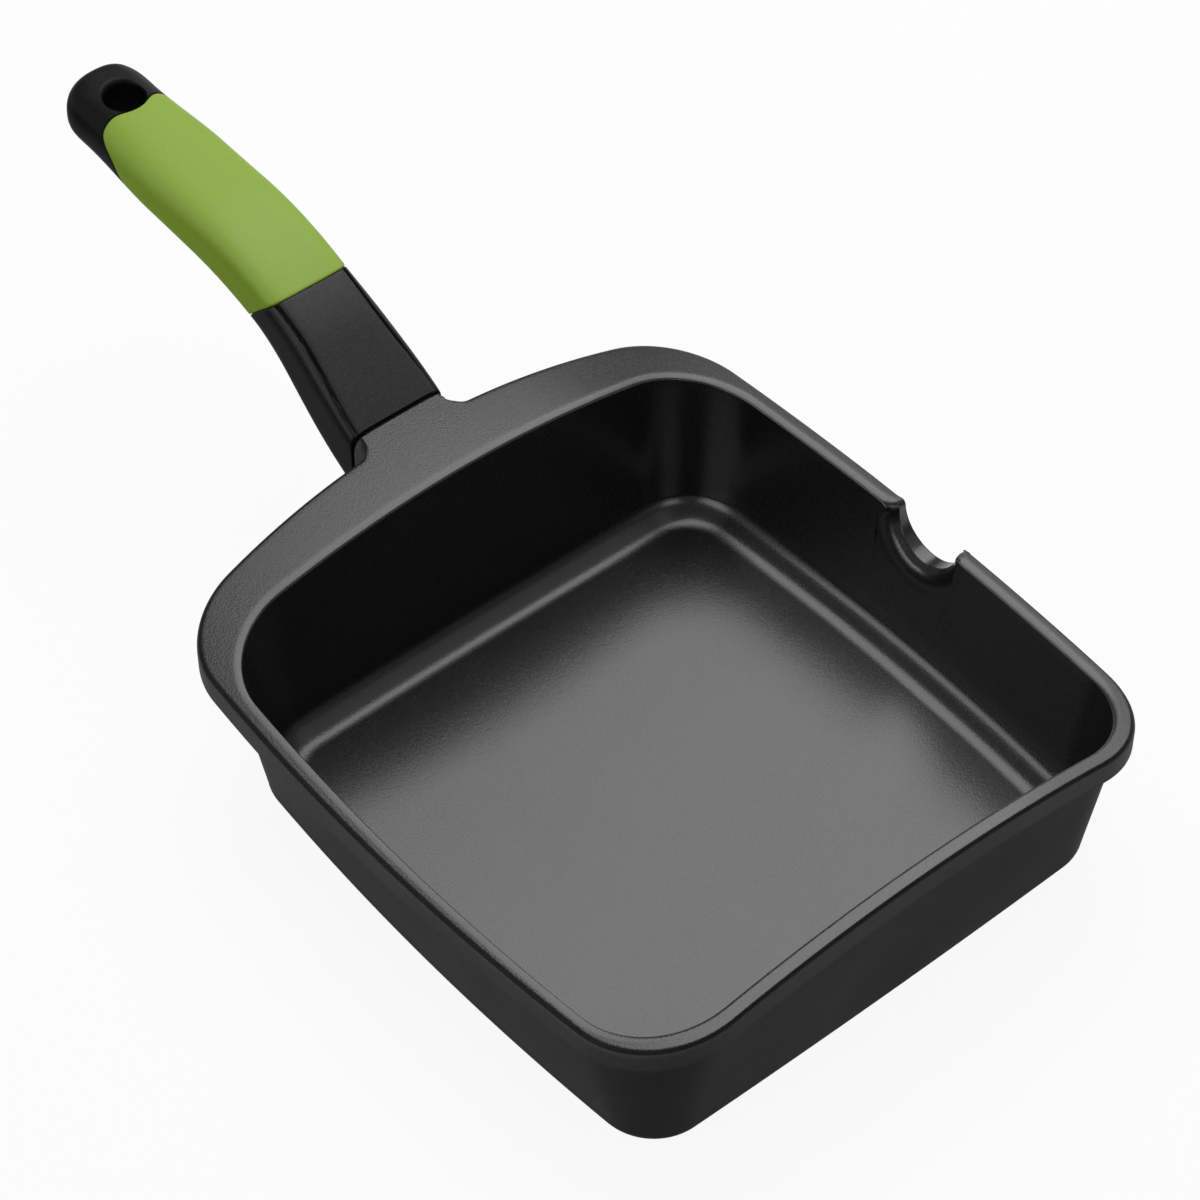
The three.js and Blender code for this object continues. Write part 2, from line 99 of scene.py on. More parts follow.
def signedVolume(points, quads):
    # sum of the pyramids from the origin to each half quad
    a, b, c, d = (points[quads[:, i]] for i in range(4))
    return (a * (np.cross(b, c) + np.cross(c, d))).sum() / 6


def gridPiece(name, grid, materials, wrapRows=False, rowSlots=None, sharp=40):
    # grid[row, column] = point in mm; columns close round, and a row drawn to a point is a pole
    rows, cols = grid.shape[:2]
    points = grid.reshape(-1, 3) * mm
    r = np.arange(rows if wrapRows else rows - 1)[:, None]
    c = np.arange(cols)[None, :]
    nextR, nextC = (r + 1) % rows, (c + 1) % cols
    quads = pile(r * cols + c, r * cols + nextC, nextR * cols + nextC, nextR * cols + c)
    slots = np.zeros(quads.shape[:2], int)
    if rowSlots is not None:
        slots[:] = np.asarray(rowSlots)[: len(r), None]
    quads = quads.reshape(-1, 4)
    if signedVolume(points, quads) < 0:
        quads = quads[:, ::-1]
    mesh = bpy.data.meshes.new(name)
    mesh.from_pydata(points.tolist(), [], quads.tolist())
    for m in materials:
        mesh.materials.append(m)
    mesh.polygons.foreach_set("material_index", slots.ravel().astype(np.int32))
    work = bmesh.new()
    work.from_mesh(mesh)
    bmesh.ops.remove_doubles(work, verts=work.verts, dist=1e-7)
    bmesh.ops.dissolve_degenerate(work, edges=work.edges, dist=1e-8)
    work.to_mesh(mesh)
    work.free()
    mesh.shade_smooth()
    mesh.set_sharp_from_angle(angle=math.radians(sharp))
    piece = bpy.data.objects.new(name, mesh)
    scene.collection.objects.link(piece)
    return piece


def settle(piece, slot, *nodes):
    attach(piece, "root")
    if nodes:
        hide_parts(*nodes)
    print("piece:", piece.name, len(piece.data.polygons), "faces")
    return piece


# shader tools

def link(output, socket):
    socket.id_data.links.new(output, socket)


def feed(socket, value):
    # links an output, or sets a constant
    if isinstance(value, bpy.types.NodeSocket):
        link(value, socket)
    else:
        socket.default_value = value


def node(tree, kind, **values):
    # node with its settings and its sockets by name, spaces as underscores
    made = tree.nodes.new(kind)
    for key, value in values.items():
        socket = made.inputs.get(key.replace("_", " "))
        if socket is None:
            setattr(made, key, value)
        else:
            feed(socket, value)
    return made


def mathNode(tree, operation, *values):
    made = node(tree, "ShaderNodeMath", operation=operation)
    for socket, value in zip(made.inputs, values):
        feed(socket, value)
    return made.outputs[0]


def mapRange(tree, value, low, high, toLow, toHigh):
    made = node(tree, "ShaderNodeMapRange", Value=value, From_Min=low, From_Max=high,
                To_Min=toLow, To_Max=toHigh)
    return made.outputs["Result"]


def mixColor(tree, factor, a, b):
    made = node(tree, "ShaderNodeMix", data_type="RGBA")
    for place, value in zip((0, 6, 7), (factor, a, b)):
        feed(made.inputs[place], (*value, 1) if isinstance(value, tuple) else value)
    return made.outputs[2]


def newGroup(name, inputs, outputs):
    group = bpy.data.node_groups.new(name, "ShaderNodeTree")
    for label, kind in inputs:
        group.interface.new_socket(label, in_out="INPUT", socket_type=kind)
    for label, kind in outputs:
        group.interface.new_socket(label, in_out="OUTPUT", socket_type=kind)
    return group, group.nodes.new("NodeGroupInput").outputs, group.nodes.new("NodeGroupOutput").inputs


def newMaterial(name):
    material = bpy.data.materials.new(name)
    material.use_nodes = True
    return material, material.node_tree, material.node_tree.nodes["Principled BSDF"]


vector, number = "NodeSocketVector", "NodeSocketFloat"


def sprayGrainGroup():
    # fine pimples of a sprayed or moulded surface: cell hills under small noise
    group, given, out = newGroup(
        "sprayGrain",
        [("Vector", vector), ("Cell Scale", number), ("Noise Scale", number)],
        [("Height", number), ("Mask", number)],
    )
    cells = node(group, "ShaderNodeTexVoronoi", feature="SMOOTH_F1", Smoothness=0.6,
                 Vector=given["Vector"], Scale=given["Cell Scale"])
    noise = node(group, "ShaderNodeTexNoise", Detail=3.0, Roughness=0.6,
                 Vector=given["Vector"], Scale=given["Noise Scale"]).outputs[0]
    hill = mapRange(group, cells.outputs["Distance"], 0.0, 0.8, 1.0, 0.0)
    link(mathNode(group, "MULTIPLY_ADD", noise, 0.6, hill), out["Height"])
    link(mapRange(group, noise, 0.35, 0.65, 0.0, 1.0), out["Mask"])
    return group


def handledPatchesGroup():
    # broad soft patches, as left by hands and wiping
    group, given, out = newGroup(
        "handledPatches", [("Vector", vector), ("Scale", number)], [("Mask", number)]
    )
    noise = node(group, "ShaderNodeTexNoise", Detail=4.0, Roughness=0.55, Distortion=0.4,
                 Vector=given["Vector"], Scale=given["Scale"])
    link(mapRange(group, noise.outputs[0], 0.3, 0.7, 0.0, 1.0), out["Mask"])
    return group


sprayGrain = sprayGrainGroup()
handledPatches = handledPatchesGroup()


def grainedFinish(name, look):
    # one principled shader: colour and roughness from grain and patches, bump from grain, and specular
    # level lowered on sideways faces as painted shade
    material, tree, shader = newMaterial(name)
    shader.inputs["IOR"].default_value = look["ior"]
    spot = tree.nodes.new("ShaderNodeTexCoord").outputs["Object"]
    grain = node(tree, "ShaderNodeGroup", node_tree=sprayGrain, Vector=spot,
                 Cell_Scale=look["cellScale"], Noise_Scale=look["noiseScale"]).outputs
    patch = node(tree, "ShaderNodeGroup", node_tree=handledPatches, Vector=spot,
                 Scale=look["patchScale"]).outputs["Mask"]
    fine = mixColor(tree, grain["Mask"], look["dark"], look["light"])
    share = mathNode(tree, "MULTIPLY", patch, look["wornShare"])
    link(mixColor(tree, share, fine, look["worn"]), shader.inputs["Base Color"])
    rough = mapRange(tree, patch, 0, 1, *look["roughness"])
    rough = mathNode(tree, "MULTIPLY_ADD", grain["Mask"], look["roughJitter"], rough)
    link(rough, shader.inputs["Roughness"])
    bump = node(tree, "ShaderNodeBump", Strength=look["bump"], Distance=look["bumpDepth"],
                Height=grain["Height"])
    link(bump.outputs["Normal"], shader.inputs["Normal"])
    normal = tree.nodes.new("ShaderNodeNewGeometry").outputs["Normal"]
    axes = node(tree, "ShaderNodeSeparateXYZ", Vector=normal)
    # specular level turned down on faces that look sideways or down, which darkens their reflections:
    # painted shade on the sides
    facing = mapRange(tree, axes.outputs["Z"], *look["sideShadeFacing"], *look["gloss"])
    speck = mapRange(tree, grain["Mask"], 0, 1, 1 - look["glossJitter"], 1 + look["glossJitter"])
    link(mathNode(tree, "MULTIPLY", facing, speck), shader.inputs["Specular IOR Level"])
    return material


# cast body

castBody = {
    "mouthWidth": 218.4, "mouthLength": 220, "mouthCorner": 31.6,
    "sideBow": 1010, "endBow": 4000,
    "rimHeight": 76.2, "crownRadius": 372,
    "wallLean": 8, "floorThickness": 7.5, "floorCorner": 12.7,
    # radius, angle where it stops, rows
    "floorArcs": ((10.7, 30, 14), (24, 39, 6), (10, 60, 10), (3, 80, 6)),
    "rimWidth": 4.6, "rimCorner": 33.4, "innerRight": 1.7, "innerBack": 1.8,
    "roll": 0.8, "rollRight": 2.7, "rollBack": 2.0, "rollLeft": 1.4,
    "rollTurn": math.radians(18), "rollTurnRight": math.radians(22),
    "innerEdge": 1.0, "wallTurn": math.radians(82),
    # where the band of darker coat, painted shade along the edge, starts and stops on the outer round
    "outerEdge": 2.0, "shadeBandTurn": (math.radians(13), math.radians(42)),
    "noseOut": 1.3, "noseFront": 0.5,
    "lipHeight": 9, "lipOverhang": 3.4, "lipFillet": 3, "lipRound": 0.7,
    "flangeDepth": 23.6, "flangeBow": 525,
    "baseInset": 6.5, "baseRound": 6, "baseCorner": 20.6,
    "plateWidth": 150, "plateCorner": 24, "recess": 1.2, "recessGap": 0.3, "recessEdge": 0.3,
    "baseSteps": (0.4, 0.8), "recessSteps": (1, 0.6, 0),
}
castNotch = {
    "radius": 14.2, "flare": 8.2, "spread": 4.8, "place": -0.3, "collar": 4.5, "setBack": 0.9,
    "wideArc": 4.0, "bevel": 1.9, "tightArc": 2.2,
    "wallTurn": math.radians(82), "bevelTurn": math.radians(17),
    "farRound": 3.0, "nearRound": 1.6, "edgeRound": 0.8, "corner": 0.5, "zoneStart": -25, "zoneStop": 27,
    # how long before each corner the flare begins, and how long it takes to open
    "nearLead": 0.5, "farLead": 3.0, "nearOpen": 6.0, "farOpen": 8.0,
    "leastChannel": 0.3, "leastFall": 0.12, "wallEase": 0.4,
    "columns": (12, 10, 48, 12, 14), "tightRows": 7,
}
castStub = {
    "reach": 7.4, "fillet": 6.5, "topWidth": 33.4, "cornerRound": 0.3, "drop": 0.1,
    "edgeRound": 0.3, "sideRound": 0.2, "behind": 0.1, "jointInset": 2,
}
handleForm = {
    "risePitch": math.radians(33), "levelPitch": math.radians(2.9), "riseLength": 30, "bendRadius": 124,
    "length": 176, "tailRound": 15, "tailPower": 2.6, "tailEdge": 6,
    "at": (0, 57, 118.3, 157.5), "width": (38.8, 34, 35.2, 32), "height": (23.6, 22.6, 24, 24),
    "power": (7, 4.2, 2.8, 2.4),
}
mouthX = castBody["mouthWidth"] / 2
mouthY = castBody["mouthLength"] / 2
flangeY = mouthY + castBody["flangeDepth"]
jointTop = flangeY + castStub["reach"]
counts = {
    "front": 16, "corner": 22, "sideEnd": 12, "leftSide": 26, "flange": 26,
    "fillet": 10, "stubSide": 3, "stubCorner": 5, "joint": 9,
}
rowCounts = {
    "floor": 15, "wall": 14, "innerTurn": 7, "innerRoll": 8, "rimTop": 16, "rimOuter": 14, "lip": 5,
    "lipRound": 5, "hollow": 8, "outside": 14, "baseRound": 9,
}


def crown(x):
    # height of the arched rim: a parabola across x
    return castBody["rimHeight"] - x * x / (2 * castBody["crownRadius"])


def arcPoints(centre, radius, angles):
    return pile(centre[0] + radius * np.cos(angles), centre[1] + radius * np.sin(angles))


def touchingCentre(a, reachA, b, reachB, towards):
    # where two circles about a and b cross: the centre of a corner arc tangent to both bows
    apart = b - a
    gap = np.hypot(*apart)
    along = (reachA ** 2 - reachB ** 2 + gap ** 2) / (2 * gap)
    across = math.sqrt(reachA ** 2 - along ** 2)
    unit = apart / gap
    return a + unit * along + towards * across * np.array([unit[1], -unit[0]])


def halfOutline(shape, sideShare):
    # front bow, corner, side bow, corner and back, all tangent; back is a bow or the flange with its stub
    b = castBody
    corner, front, back, backBow = shape["corner"], shape["front"], shape["back"], shape["backBow"]
    side = np.array([shape["halfWidth"] - b["sideBow"], (front + back) / 2])
    frontEnd = np.array([0, front + b["endBow"]])
    backEnd = np.array([0, back - backBow])
    frontCorner = touchingCentre(side, b["sideBow"] - corner, frontEnd, b["endBow"] - corner, 1)
    backCorner = touchingCentre(side, b["sideBow"] - corner, backEnd, backBow - corner, -1)
    turn = lambda a, c: math.atan2(c[1] - a[1], c[0] - a[0])
    frontTurn, backTurn = turn(frontEnd, frontCorner), turn(backEnd, backCorner)
    sideStart, sideStop = turn(side, frontCorner), turn(side, backCorner)
    tangentX = backCorner[0] + corner * math.cos(backTurn)
    s = castStub
    half, fillet = s["topWidth"] / 2, s["fillet"]
    inset = shape.get("inset")
    nStub = counts["fillet"] + counts["stubSide"] + counts["stubCorner"]
    if inset is None:
        shoulder = half + fillet
        x = np.concatenate([
            stretch(tangentX, shoulder, counts["flange"]),
            stretch(shoulder, half - s["jointInset"], nStub),
            np.linspace(half - s["jointInset"], 0, counts["joint"]),
        ])
        backPart = pile(x, backEnd[1] + np.sqrt(backBow ** 2 - x * x))
    else:
        bow = backBow + inset  # the bow before it was drawn in
        filletY = backEnd[1] + math.sqrt((bow + fillet) ** 2 - (half + fillet) ** 2)
        lean = math.atan2(filletY - backEnd[1], half + fillet)
        x = stretch(tangentX, backBow * math.cos(lean), counts["flange"])
        endInset = min(inset, s["edgeRound"])
        sideInset = inset * s["sideRound"]
        endY = jointTop - s["behind"] - endInset
        bend = s["cornerRound"]
        drawnIn = part(inset, sideInset, ease(stretch(0, 2, counts["fillet"])))[:, None]
        filletArc = arcPoints((0, 0), 1, stretch(lean - math.pi, -math.pi, counts["fillet"]))
        backPart = np.vstack([
            pile(x, backEnd[1] + np.sqrt(backBow ** 2 - x * x)),
            (half + fillet, filletY) + filletArc * (fillet + drawnIn),
            pile(half - sideInset, stretch(filletY, max(endY - bend, filletY), counts["stubSide"])),
            arcPoints((half - sideInset - bend, endY - bend), bend,
                      stretch(0, math.pi / 2, counts["stubCorner"])),
            pile(np.linspace(half - sideInset - bend, 0, counts["joint"]), endY),
        ])
    return np.vstack([
        arcPoints(frontEnd, b["endBow"], stretch(-math.pi / 2, frontTurn, counts["front"])),
        arcPoints(frontCorner, corner, stretch(frontTurn, sideStart, counts["corner"])),
        arcPoints(side, b["sideBow"], sideStart + (sideStop - sideStart) * sideShare),
        arcPoints(backCorner, corner, stretch(sideStop, backTurn, counts["corner"])),
        backPart,
    ])


rimLevel = crown(mouthX + castBody["rimWidth"] / 2)
notchKind = np.repeat(np.arange(5), castNotch["columns"])  # level, round, circle, round, level
notchAt = np.concatenate([stretch(0, 1, count) for count in castNotch["columns"][:4]]
                         + [np.linspace(0, 1, castNotch["columns"][4])])


def notchSpot(depth):
    # (y, z) of the rim line over the notch, moved down by a depth at each column; a round widens with the
    # depth, so it's never tighter than the least corner and the line doesn't cross itself
    n, t = castNotch, notchAt
    r, y0, z0 = n["radius"], n["place"], rimLevel
    near, far = (np.maximum(n[key], depth + n["corner"]) for key in ("nearRound", "farRound"))
    nearY, farY = y0 - np.sqrt(r * r + 2 * r * near), y0 + np.sqrt(r * r + 2 * r * far)
    nearTurn, farTurn = np.arctan2(-near, nearY - y0), np.arctan2(-far, farY - y0)
    a = part(math.pi / 2, nearTurn + math.pi, t)
    b = part(nearTurn, farTurn, t)
    c = part(farTurn + math.pi, math.pi / 2, t)
    y = (part(n["zoneStart"], nearY, t), nearY + (near - depth) * np.cos(a), y0 + (r + depth) * np.cos(b),
         farY + (far - depth) * np.cos(c), part(farY, n["zoneStop"], t))
    z = (z0 - depth, z0 - near + (near - depth) * np.sin(a), z0 + (r + depth) * np.sin(b),
         z0 - far + (far - depth) * np.sin(c), z0 - depth)
    return np.choose(notchKind, y), np.choose(notchKind, z)


def flareShare():
    # how far each column of the notch has opened to its flare, by the way gone from either corner
    n = castNotch
    run = np.append(0, np.cumsum(np.hypot(*np.diff(notchSpot(0 * notchAt)))))
    near, far = run[notchKind == 1][0], run[notchKind == 4][0]
    fromNear = ease((run - near + n["nearLead"]) / n["nearOpen"])
    return np.minimum(fromNear, ease((far - run + n["farLead"]) / n["farOpen"]))


notchShare = flareShare()


def sideShares():
    # places of the right side's columns along its bow: coarse, then the notch's, then coarse
    reach = castBody["sideBow"] - castBody["mouthCorner"]
    bow = math.asin((mouthY - castBody["mouthCorner"]) / reach)
    start, stop = ((math.asin(castNotch[key] / castBody["sideBow"]) / bow + 1) / 2
                   for key in ("zoneStart", "zoneStop"))
    right = np.concatenate([
        stretch(0, start, counts["sideEnd"]), np.linspace(start, stop, len(notchAt)),
        stretch(1, stop, counts["sideEnd"])[::-1][:-1],
    ])
    return np.sort(np.unique(right)), stretch(0, 1, counts["leftSide"])


rightShare, leftShare = sideShares()


def ring(shape):
    right = halfOutline(shape, rightShare)
    left = halfOutline(shape, leftShare)[1:-1][::-1] * (-1, 1)
    return np.vstack([right, left])


def mouthRing(offset, corner):
    b = castBody
    return ring({"halfWidth": mouthX + offset, "front": -(mouthY + offset), "back": mouthY + offset,
                 "backBow": b["endBow"], "corner": corner})


def lipRing(inset):
    b = castBody
    out = b["rimWidth"] - inset
    return ring({"halfWidth": mouthX + out, "front": -(mouthY + out), "back": flangeY - inset,
                 "backBow": b["flangeBow"] - inset, "corner": b["rimCorner"] - inset, "inset": inset})


def plateRing(offset):
    half = castBody["plateWidth"] / 2 + offset
    return ring({"halfWidth": half, "front": -half, "back": half, "backBow": castBody["endBow"],
                 "corner": castBody["plateCorner"] + offset})


def withZ(xy, z):
    return pile(*xy.T, z)


def arched(xy, drop):
    return withZ(xy, crown(xy[:, 0]) - drop)


def filletSection(turn):
    # out and up of the curve from floor to wall, by angle turned: arcs of different radius end to end
    out, up, start = 0, 0, 0
    for radius, stop, _ in castBody["floorArcs"]:
        stop = math.radians(stop)
        a = np.clip(turn, start, stop)
        out = out + radius * (np.sin(a) - math.sin(start))
        up = up + radius * (math.cos(start) - np.cos(a))
        start = stop
    return out, up


def filletTurns():
    # angles of the rows over the arcs, from level to the wall
    stops = np.radians([0] + [arc[1] for arc in castBody["floorArcs"]])
    rows = [stretch(a, z, arc[2]) for a, z, arc in zip(stops, stops[1:], castBody["floorArcs"])]
    return np.append(np.concatenate(rows), stops[-1])


def rimInner(nx, ny):
    # out and drop of the rim's inner edge by the way it faces: a tight turn off the wall, then a gentle
    # roll to level
    b = castBody
    right, back, left = np.maximum(nx, 0) ** 2, np.maximum(ny, 0) ** 2, np.maximum(-nx, 0) ** 2
    start = -b["innerRight"] * right - b["innerBack"] * back
    bend = b["rollTurn"] + b["rollTurnRight"] * right
    roll = (b["roll"] + b["rollRight"] * right + b["rollBack"] * back + b["rollLeft"] * left) / np.sin(bend)
    turn = b["wallTurn"] + (bend - b["wallTurn"]) * np.linspace(0, 1, rowCounts["innerTurn"])[:, None]
    level = bend * np.linspace(1, 0, rowCounts["innerRoll"])[1:, None]
    out = start + b["innerEdge"] * (math.sin(b["wallTurn"]) - np.sin(turn))
    rise = b["innerEdge"] * (np.cos(turn) - math.cos(b["wallTurn"]))
    out = np.vstack([out, out[-1] + roll * (np.sin(bend) - np.sin(level))])
    rise = np.vstack([rise, rise[-1] + roll * (np.cos(level) - np.cos(bend))])
    return out, rise[-1] - rise


def rimOuter():
    # inset and drop of the rim's outer edge, a quarter round, and each row's kind: top coat, a band of
    # darker coat where the inside coat ends that paints the edge's shade, then outside
    r = castBody["outerEdge"]
    turn = quarterTurn(rowCounts["rimOuter"])
    kinds = np.array(["rimEdge", "rimSeam", "rimFall"])[np.searchsorted(castBody["shadeBandTurn"], turn)]
    return r * (1 - np.sin(turn)), r * (1 - np.cos(turn)), kinds


def outward(xy):
    # unit normals of a closed ring that runs anticlockwise
    along = np.roll(xy, -1, 0) - np.roll(xy, 1, 0)
    return pile(along[:, 1], -along[:, 0]) / np.linalg.norm(along, axis=1, keepdims=True)


def castRows():
    # rows of the casting from the floor's middle, up the wall, over the rim, down and under to the recess
    b = castBody
    rows, kinds = [], []

    def add(kind, points):
        rows.append(points)
        kinds.append(kind)

    outs, ups = filletSection(filletTurns())
    floorEdge = mouthRing(-b["wallLean"] - outs[-1], b["floorCorner"])
    for t in np.linspace(0, 1, rowCounts["floor"])[:-1]:
        add("floor", withZ(floorEdge * t, b["floorThickness"]))
    for out, up in zip(outs, ups):
        ringOut = mouthRing(out - outs[-1] - b["wallLean"], b["floorCorner"] + out)
        add("fillet", withZ(ringOut, b["floorThickness"] + up))
    wallLow = rows[-1]
    mouth = mouthRing(0, b["mouthCorner"])
    facing = outward(mouth)
    outs, drops = rimInner(*facing.T)
    nose = facing * (b["noseOut"] * (1 - np.maximum(facing[:, 1:], 0) ** 2)  # none at the flange
                     + b["noseFront"] * np.maximum(-facing[:, 1:], 0) ** 2)
    wallHigh = arched(mouth + facing * outs[0][:, None], drops[0])
    for t in np.linspace(0, 1, rowCounts["wall"])[1:-1]:
        add("wall", part(wallLow, wallHigh, t))
    for out, drop in zip(outs, drops):
        add("rimIn", arched(mouth + facing * out[:, None], drop))
    insets, falls, edgeKinds = rimOuter()
    topIn, topOut = rows[-1], lipRing(insets[0]) + nose
    for t in np.linspace(0, 1, rowCounts["rimTop"])[1:-1]:
        add("rimTop", arched(part(topIn[:, :2], topOut, t), 0))
    for inset, fall, kind in zip(insets, falls, edgeKinds):
        add(kind, arched(lipRing(inset) + nose, fall))
    lip = lipRing(0) + nose
    for drop in np.linspace(falls[-1], b["lipHeight"] - b["lipRound"], rowCounts["lip"])[1:]:
        add("lip", arched(lip, drop))
    for a in quarterTurn(rowCounts["lipRound"])[1:]:
        add("lip", arched(lipRing(b["lipRound"] * (1 - math.cos(a))) + nose,
                          b["lipHeight"] - b["lipRound"] * (1 - math.sin(a))))
    under = rows[-1]
    wallTop = mouthRing(b["rimWidth"] - b["lipOverhang"], b["mouthCorner"])
    wallTop = arched(wallTop, b["lipHeight"] + b["lipFillet"])
    # hollow under the lip: quarter ellipse from level to upright
    for a in quarterTurn(rowCounts["hollow"])[1:]:
        flat = part(under, wallTop, math.sin(a))
        flat[:, 2] = part(under[:, 2], wallTop[:, 2], 1 - math.cos(a))
        add("hollow", flat)
    wallBase = withZ(mouthRing(-b["baseInset"], b["baseCorner"]), b["baseRound"])
    for t in np.linspace(0, 1, rowCounts["outside"])[1:-1]:
        add("outside", part(wallTop, wallBase, t))
    for a in quarterTurn(rowCounts["baseRound"]):
        inset = b["baseRound"] * (1 - math.cos(a))
        turned = mouthRing(-b["baseInset"] - inset, b["baseCorner"] - inset)
        add("base", withZ(turned, b["baseRound"] * (1 - math.sin(a))))
    rim = plateRing(b["recessGap"])
    for t in b["baseSteps"]:
        add("base", part(rows[-1], withZ(rim, 0), t))
    for z in (0, b["recessEdge"]):
        add("base", withZ(rim, z))
    for t in b["recessSteps"]:
        add("base", withZ(rim * t, b["recess"]))
    return np.array(rows), np.array(kinds)


def cutNotch(grid, kinds):
    # the notch's columns follow the notch line; over the rim their section opens to a flare inside
    b, n = castBody, castNotch
    columns = counts["front"] + counts["corner"] + counts["sideEnd"] + np.arange(len(notchAt))
    share = notchShare
    flat = (share == 0) & np.isin(notchKind, [0, 4])
    z = notchSpot(0 * share)[1]
    bow = lambda yy: mouthX - b["sideBow"] + np.sqrt(b["sideBow"] ** 2 - yy * yy)
    edge = crown(mouthX)
    filletTop = b["floorThickness"] + filletSection(filletTurns()[-1:])[1][0]
    lipTop = crown(mouthX + b["rimWidth"])
    collar = np.minimum(lipTop - b["lipHeight"], z - n["collar"])  # the lip's underside follows the notch

    innerTop = rimInner(np.ones(1), np.zeros(1))
    wallEnd, lipOut = innerTop[0][0, 0], b["rimWidth"] + b["noseOut"]

    def innerOut(zz):
        return part(-b["wallLean"], wallEnd, (zz - filletTop) / (edge - innerTop[1][0, 0] - filletTop))

    def outerOut(zz):
        rise = lipTop - b["lipHeight"] - b["lipFillet"] - b["baseRound"]
        most = b["rimWidth"] - b["lipOverhang"]
        wall = np.minimum(part(-b["baseInset"], most, (zz - b["baseRound"]) / rise), most)
        step = np.clip((zz - collar + b["lipFillet"]) / b["lipFillet"], 0, 1)
        return part(wall, lipOut - n["setBack"] * share, 1 - np.sqrt(1 - step ** 2))

    def move(rows, *points):
        spots = np.ix_(rows, columns)
        grid[spots] = np.where(flat[:, None], grid[spots], pile(*points))

    over = np.flatnonzero(np.isin(kinds, ["rimIn", "rimTop", "rimEdge", "rimSeam", "rimFall"]))
    plain = castRimSection(kinds[over])
    first = innerOut(notchSpot(0 * share + n["flare"])[1])
    last = outerOut(notchSpot(0 * share + n["edgeRound"])[1])
    opened = notchSection(kinds[over], first, last)
    out = part(plain[:, 0][:, None], opened[0], share)
    drop = part(plain[:, 1][:, None], opened[1], share)
    yy, zz = notchSpot(drop)
    xx = bow(yy) + out
    move(over, xx, yy, zz + (crown(xx) - rimLevel) * (1 - share))

    wall = np.flatnonzero(kinds == "wall")
    low = grid[wall[0] - 1, columns]
    high = grid[over[0], columns]
    t = (np.arange(len(wall)) + 1)[:, None] / (len(wall) + 1)
    yy = part(low[:, 1], high[:, 1], part(t, ease(t), n["wallEase"]))
    zz = part(low[:, 2], high[:, 2], t)
    move(wall, bow(yy) + innerOut(zz), yy, zz)

    outer = np.flatnonzero(np.isin(kinds, ["lip", "hollow", "outside"]))
    top = grid[over[-1], columns]
    base = grid[outer[-1] + 1, columns]
    k = np.arange(len(outer))[:, None]
    zz = np.minimum(grid[np.ix_(outer, columns)][..., 2], top[:, 2] - n["leastFall"] * (k + 1))
    t = np.clip((top[:, 2] - zz) / (top[:, 2] - base[:, 2]), 0, 1)
    yy = part(top[:, 1], base[:, 1], ease(t))
    move(outer, bow(yy) + outerOut(zz), yy, zz)
    return grid


def castRimSection(kinds):
    # (out, drop) of the plain rim on the notch's side: inner edge, level, outer edge
    b = castBody
    outs, drops = (row[:, 0] for row in rimInner(np.ones(1), np.zeros(1)))
    insets, falls, _ = rimOuter()
    outer = b["rimWidth"] + b["noseOut"] - insets
    level = np.linspace(outs[-1], outer[0], int((kinds == "rimTop").sum()) + 2)[1:-1]
    return pile(np.concatenate([outs, level, outer]), np.concatenate([drops, 0 * level, falls]))


def notchSection(kinds, first, last):
    # (out, drop) through the notch by the angle still to turn into the channel: an arc off the inner wall,
    # a bevel, a tighter arc, the channel and a round outer edge; drawn together where the rim is narrow
    n = castNotch
    nIn, nTop = (int((kinds == k).sum()) for k in ("rimIn", "rimTop"))
    nOut = len(kinds) - nIn - nTop
    wide, bevel, tight = n["wideArc"], n["bevel"], n["tightArc"]
    a = np.linspace(n["wallTurn"], n["bevelTurn"], nIn)
    c = np.linspace(n["bevelTurn"], 0, n["tightRows"])
    out = wide * (np.sin(a[0]) - np.sin(a))
    rise = wide * (np.cos(a) - np.cos(a[0]))
    out = np.append(out, out[-1] + bevel * np.cos(a[-1]) + tight * (np.sin(c[0]) - np.sin(c)))
    rise = np.append(rise, rise[-1] + bevel * np.sin(a[-1]) + tight * (np.cos(c) - np.cos(c[0])))
    out, rise = out[:, None] * n["spread"] / out[-1], rise[:, None] * n["flare"] / rise[-1]
    e = n["edgeRound"]
    squeeze = np.minimum(1, (last - e - n["leastChannel"] - first) / out[-1])
    flareEnd = first + out[-1] * squeeze
    t = np.linspace(0, 1, nTop - n["tightRows"] + 2)[1:-1, None]
    g = quarterTurn(nOut)[:, None]
    out = np.vstack([first + out * squeeze, part(flareEnd, last - e, t), last - e * (1 - np.sin(g))])
    drop = np.vstack([n["flare"] - rise, 0 * t, e * (1 - np.cos(g))])
    return out, drop + 0 * first


coatLook = {
    "cellScale": 1500.0, "noiseScale": 1100.0, "patchScale": 22.0, "wornShare": 0.3,
    "roughJitter": 0.05, "bump": 0.3, "glossJitter": 0.15, "ior": 1.42,
}
nonStick = grainedFinish("nonStickCoat", {
    **coatLook, "dark": (0.0045, 0.0045, 0.0047), "light": (0.0085, 0.0085, 0.0088),
    "worn": (0.01, 0.01, 0.01), "roughness": (0.22, 0.25), "roughJitter": 0.04,
    "bump": 0.28, "bumpDepth": 0.00007, "gloss": (0.5, 0.5), "sideShadeFacing": (-1, 1), "glossJitter": 0.06,
    "ior": 1.6,
})
# its gloss falls away on the walls that face sideways and down: painted shade on them
outsideCoat = grainedFinish("outsideCoat", {
    **coatLook, "dark": (0.0085, 0.0085, 0.0085), "light": (0.0118, 0.0118, 0.0118),
    "worn": (0.013, 0.013, 0.013), "wornShare": 0.4,
    "cellScale": 1300.0, "noiseScale": 800.0, "patchScale": 18.0,
    "roughness": (0.52, 0.60), "bumpDepth": 0.00008, "gloss": (0.05, 0.5), "sideShadeFacing": (-0.13, 0.3),
})
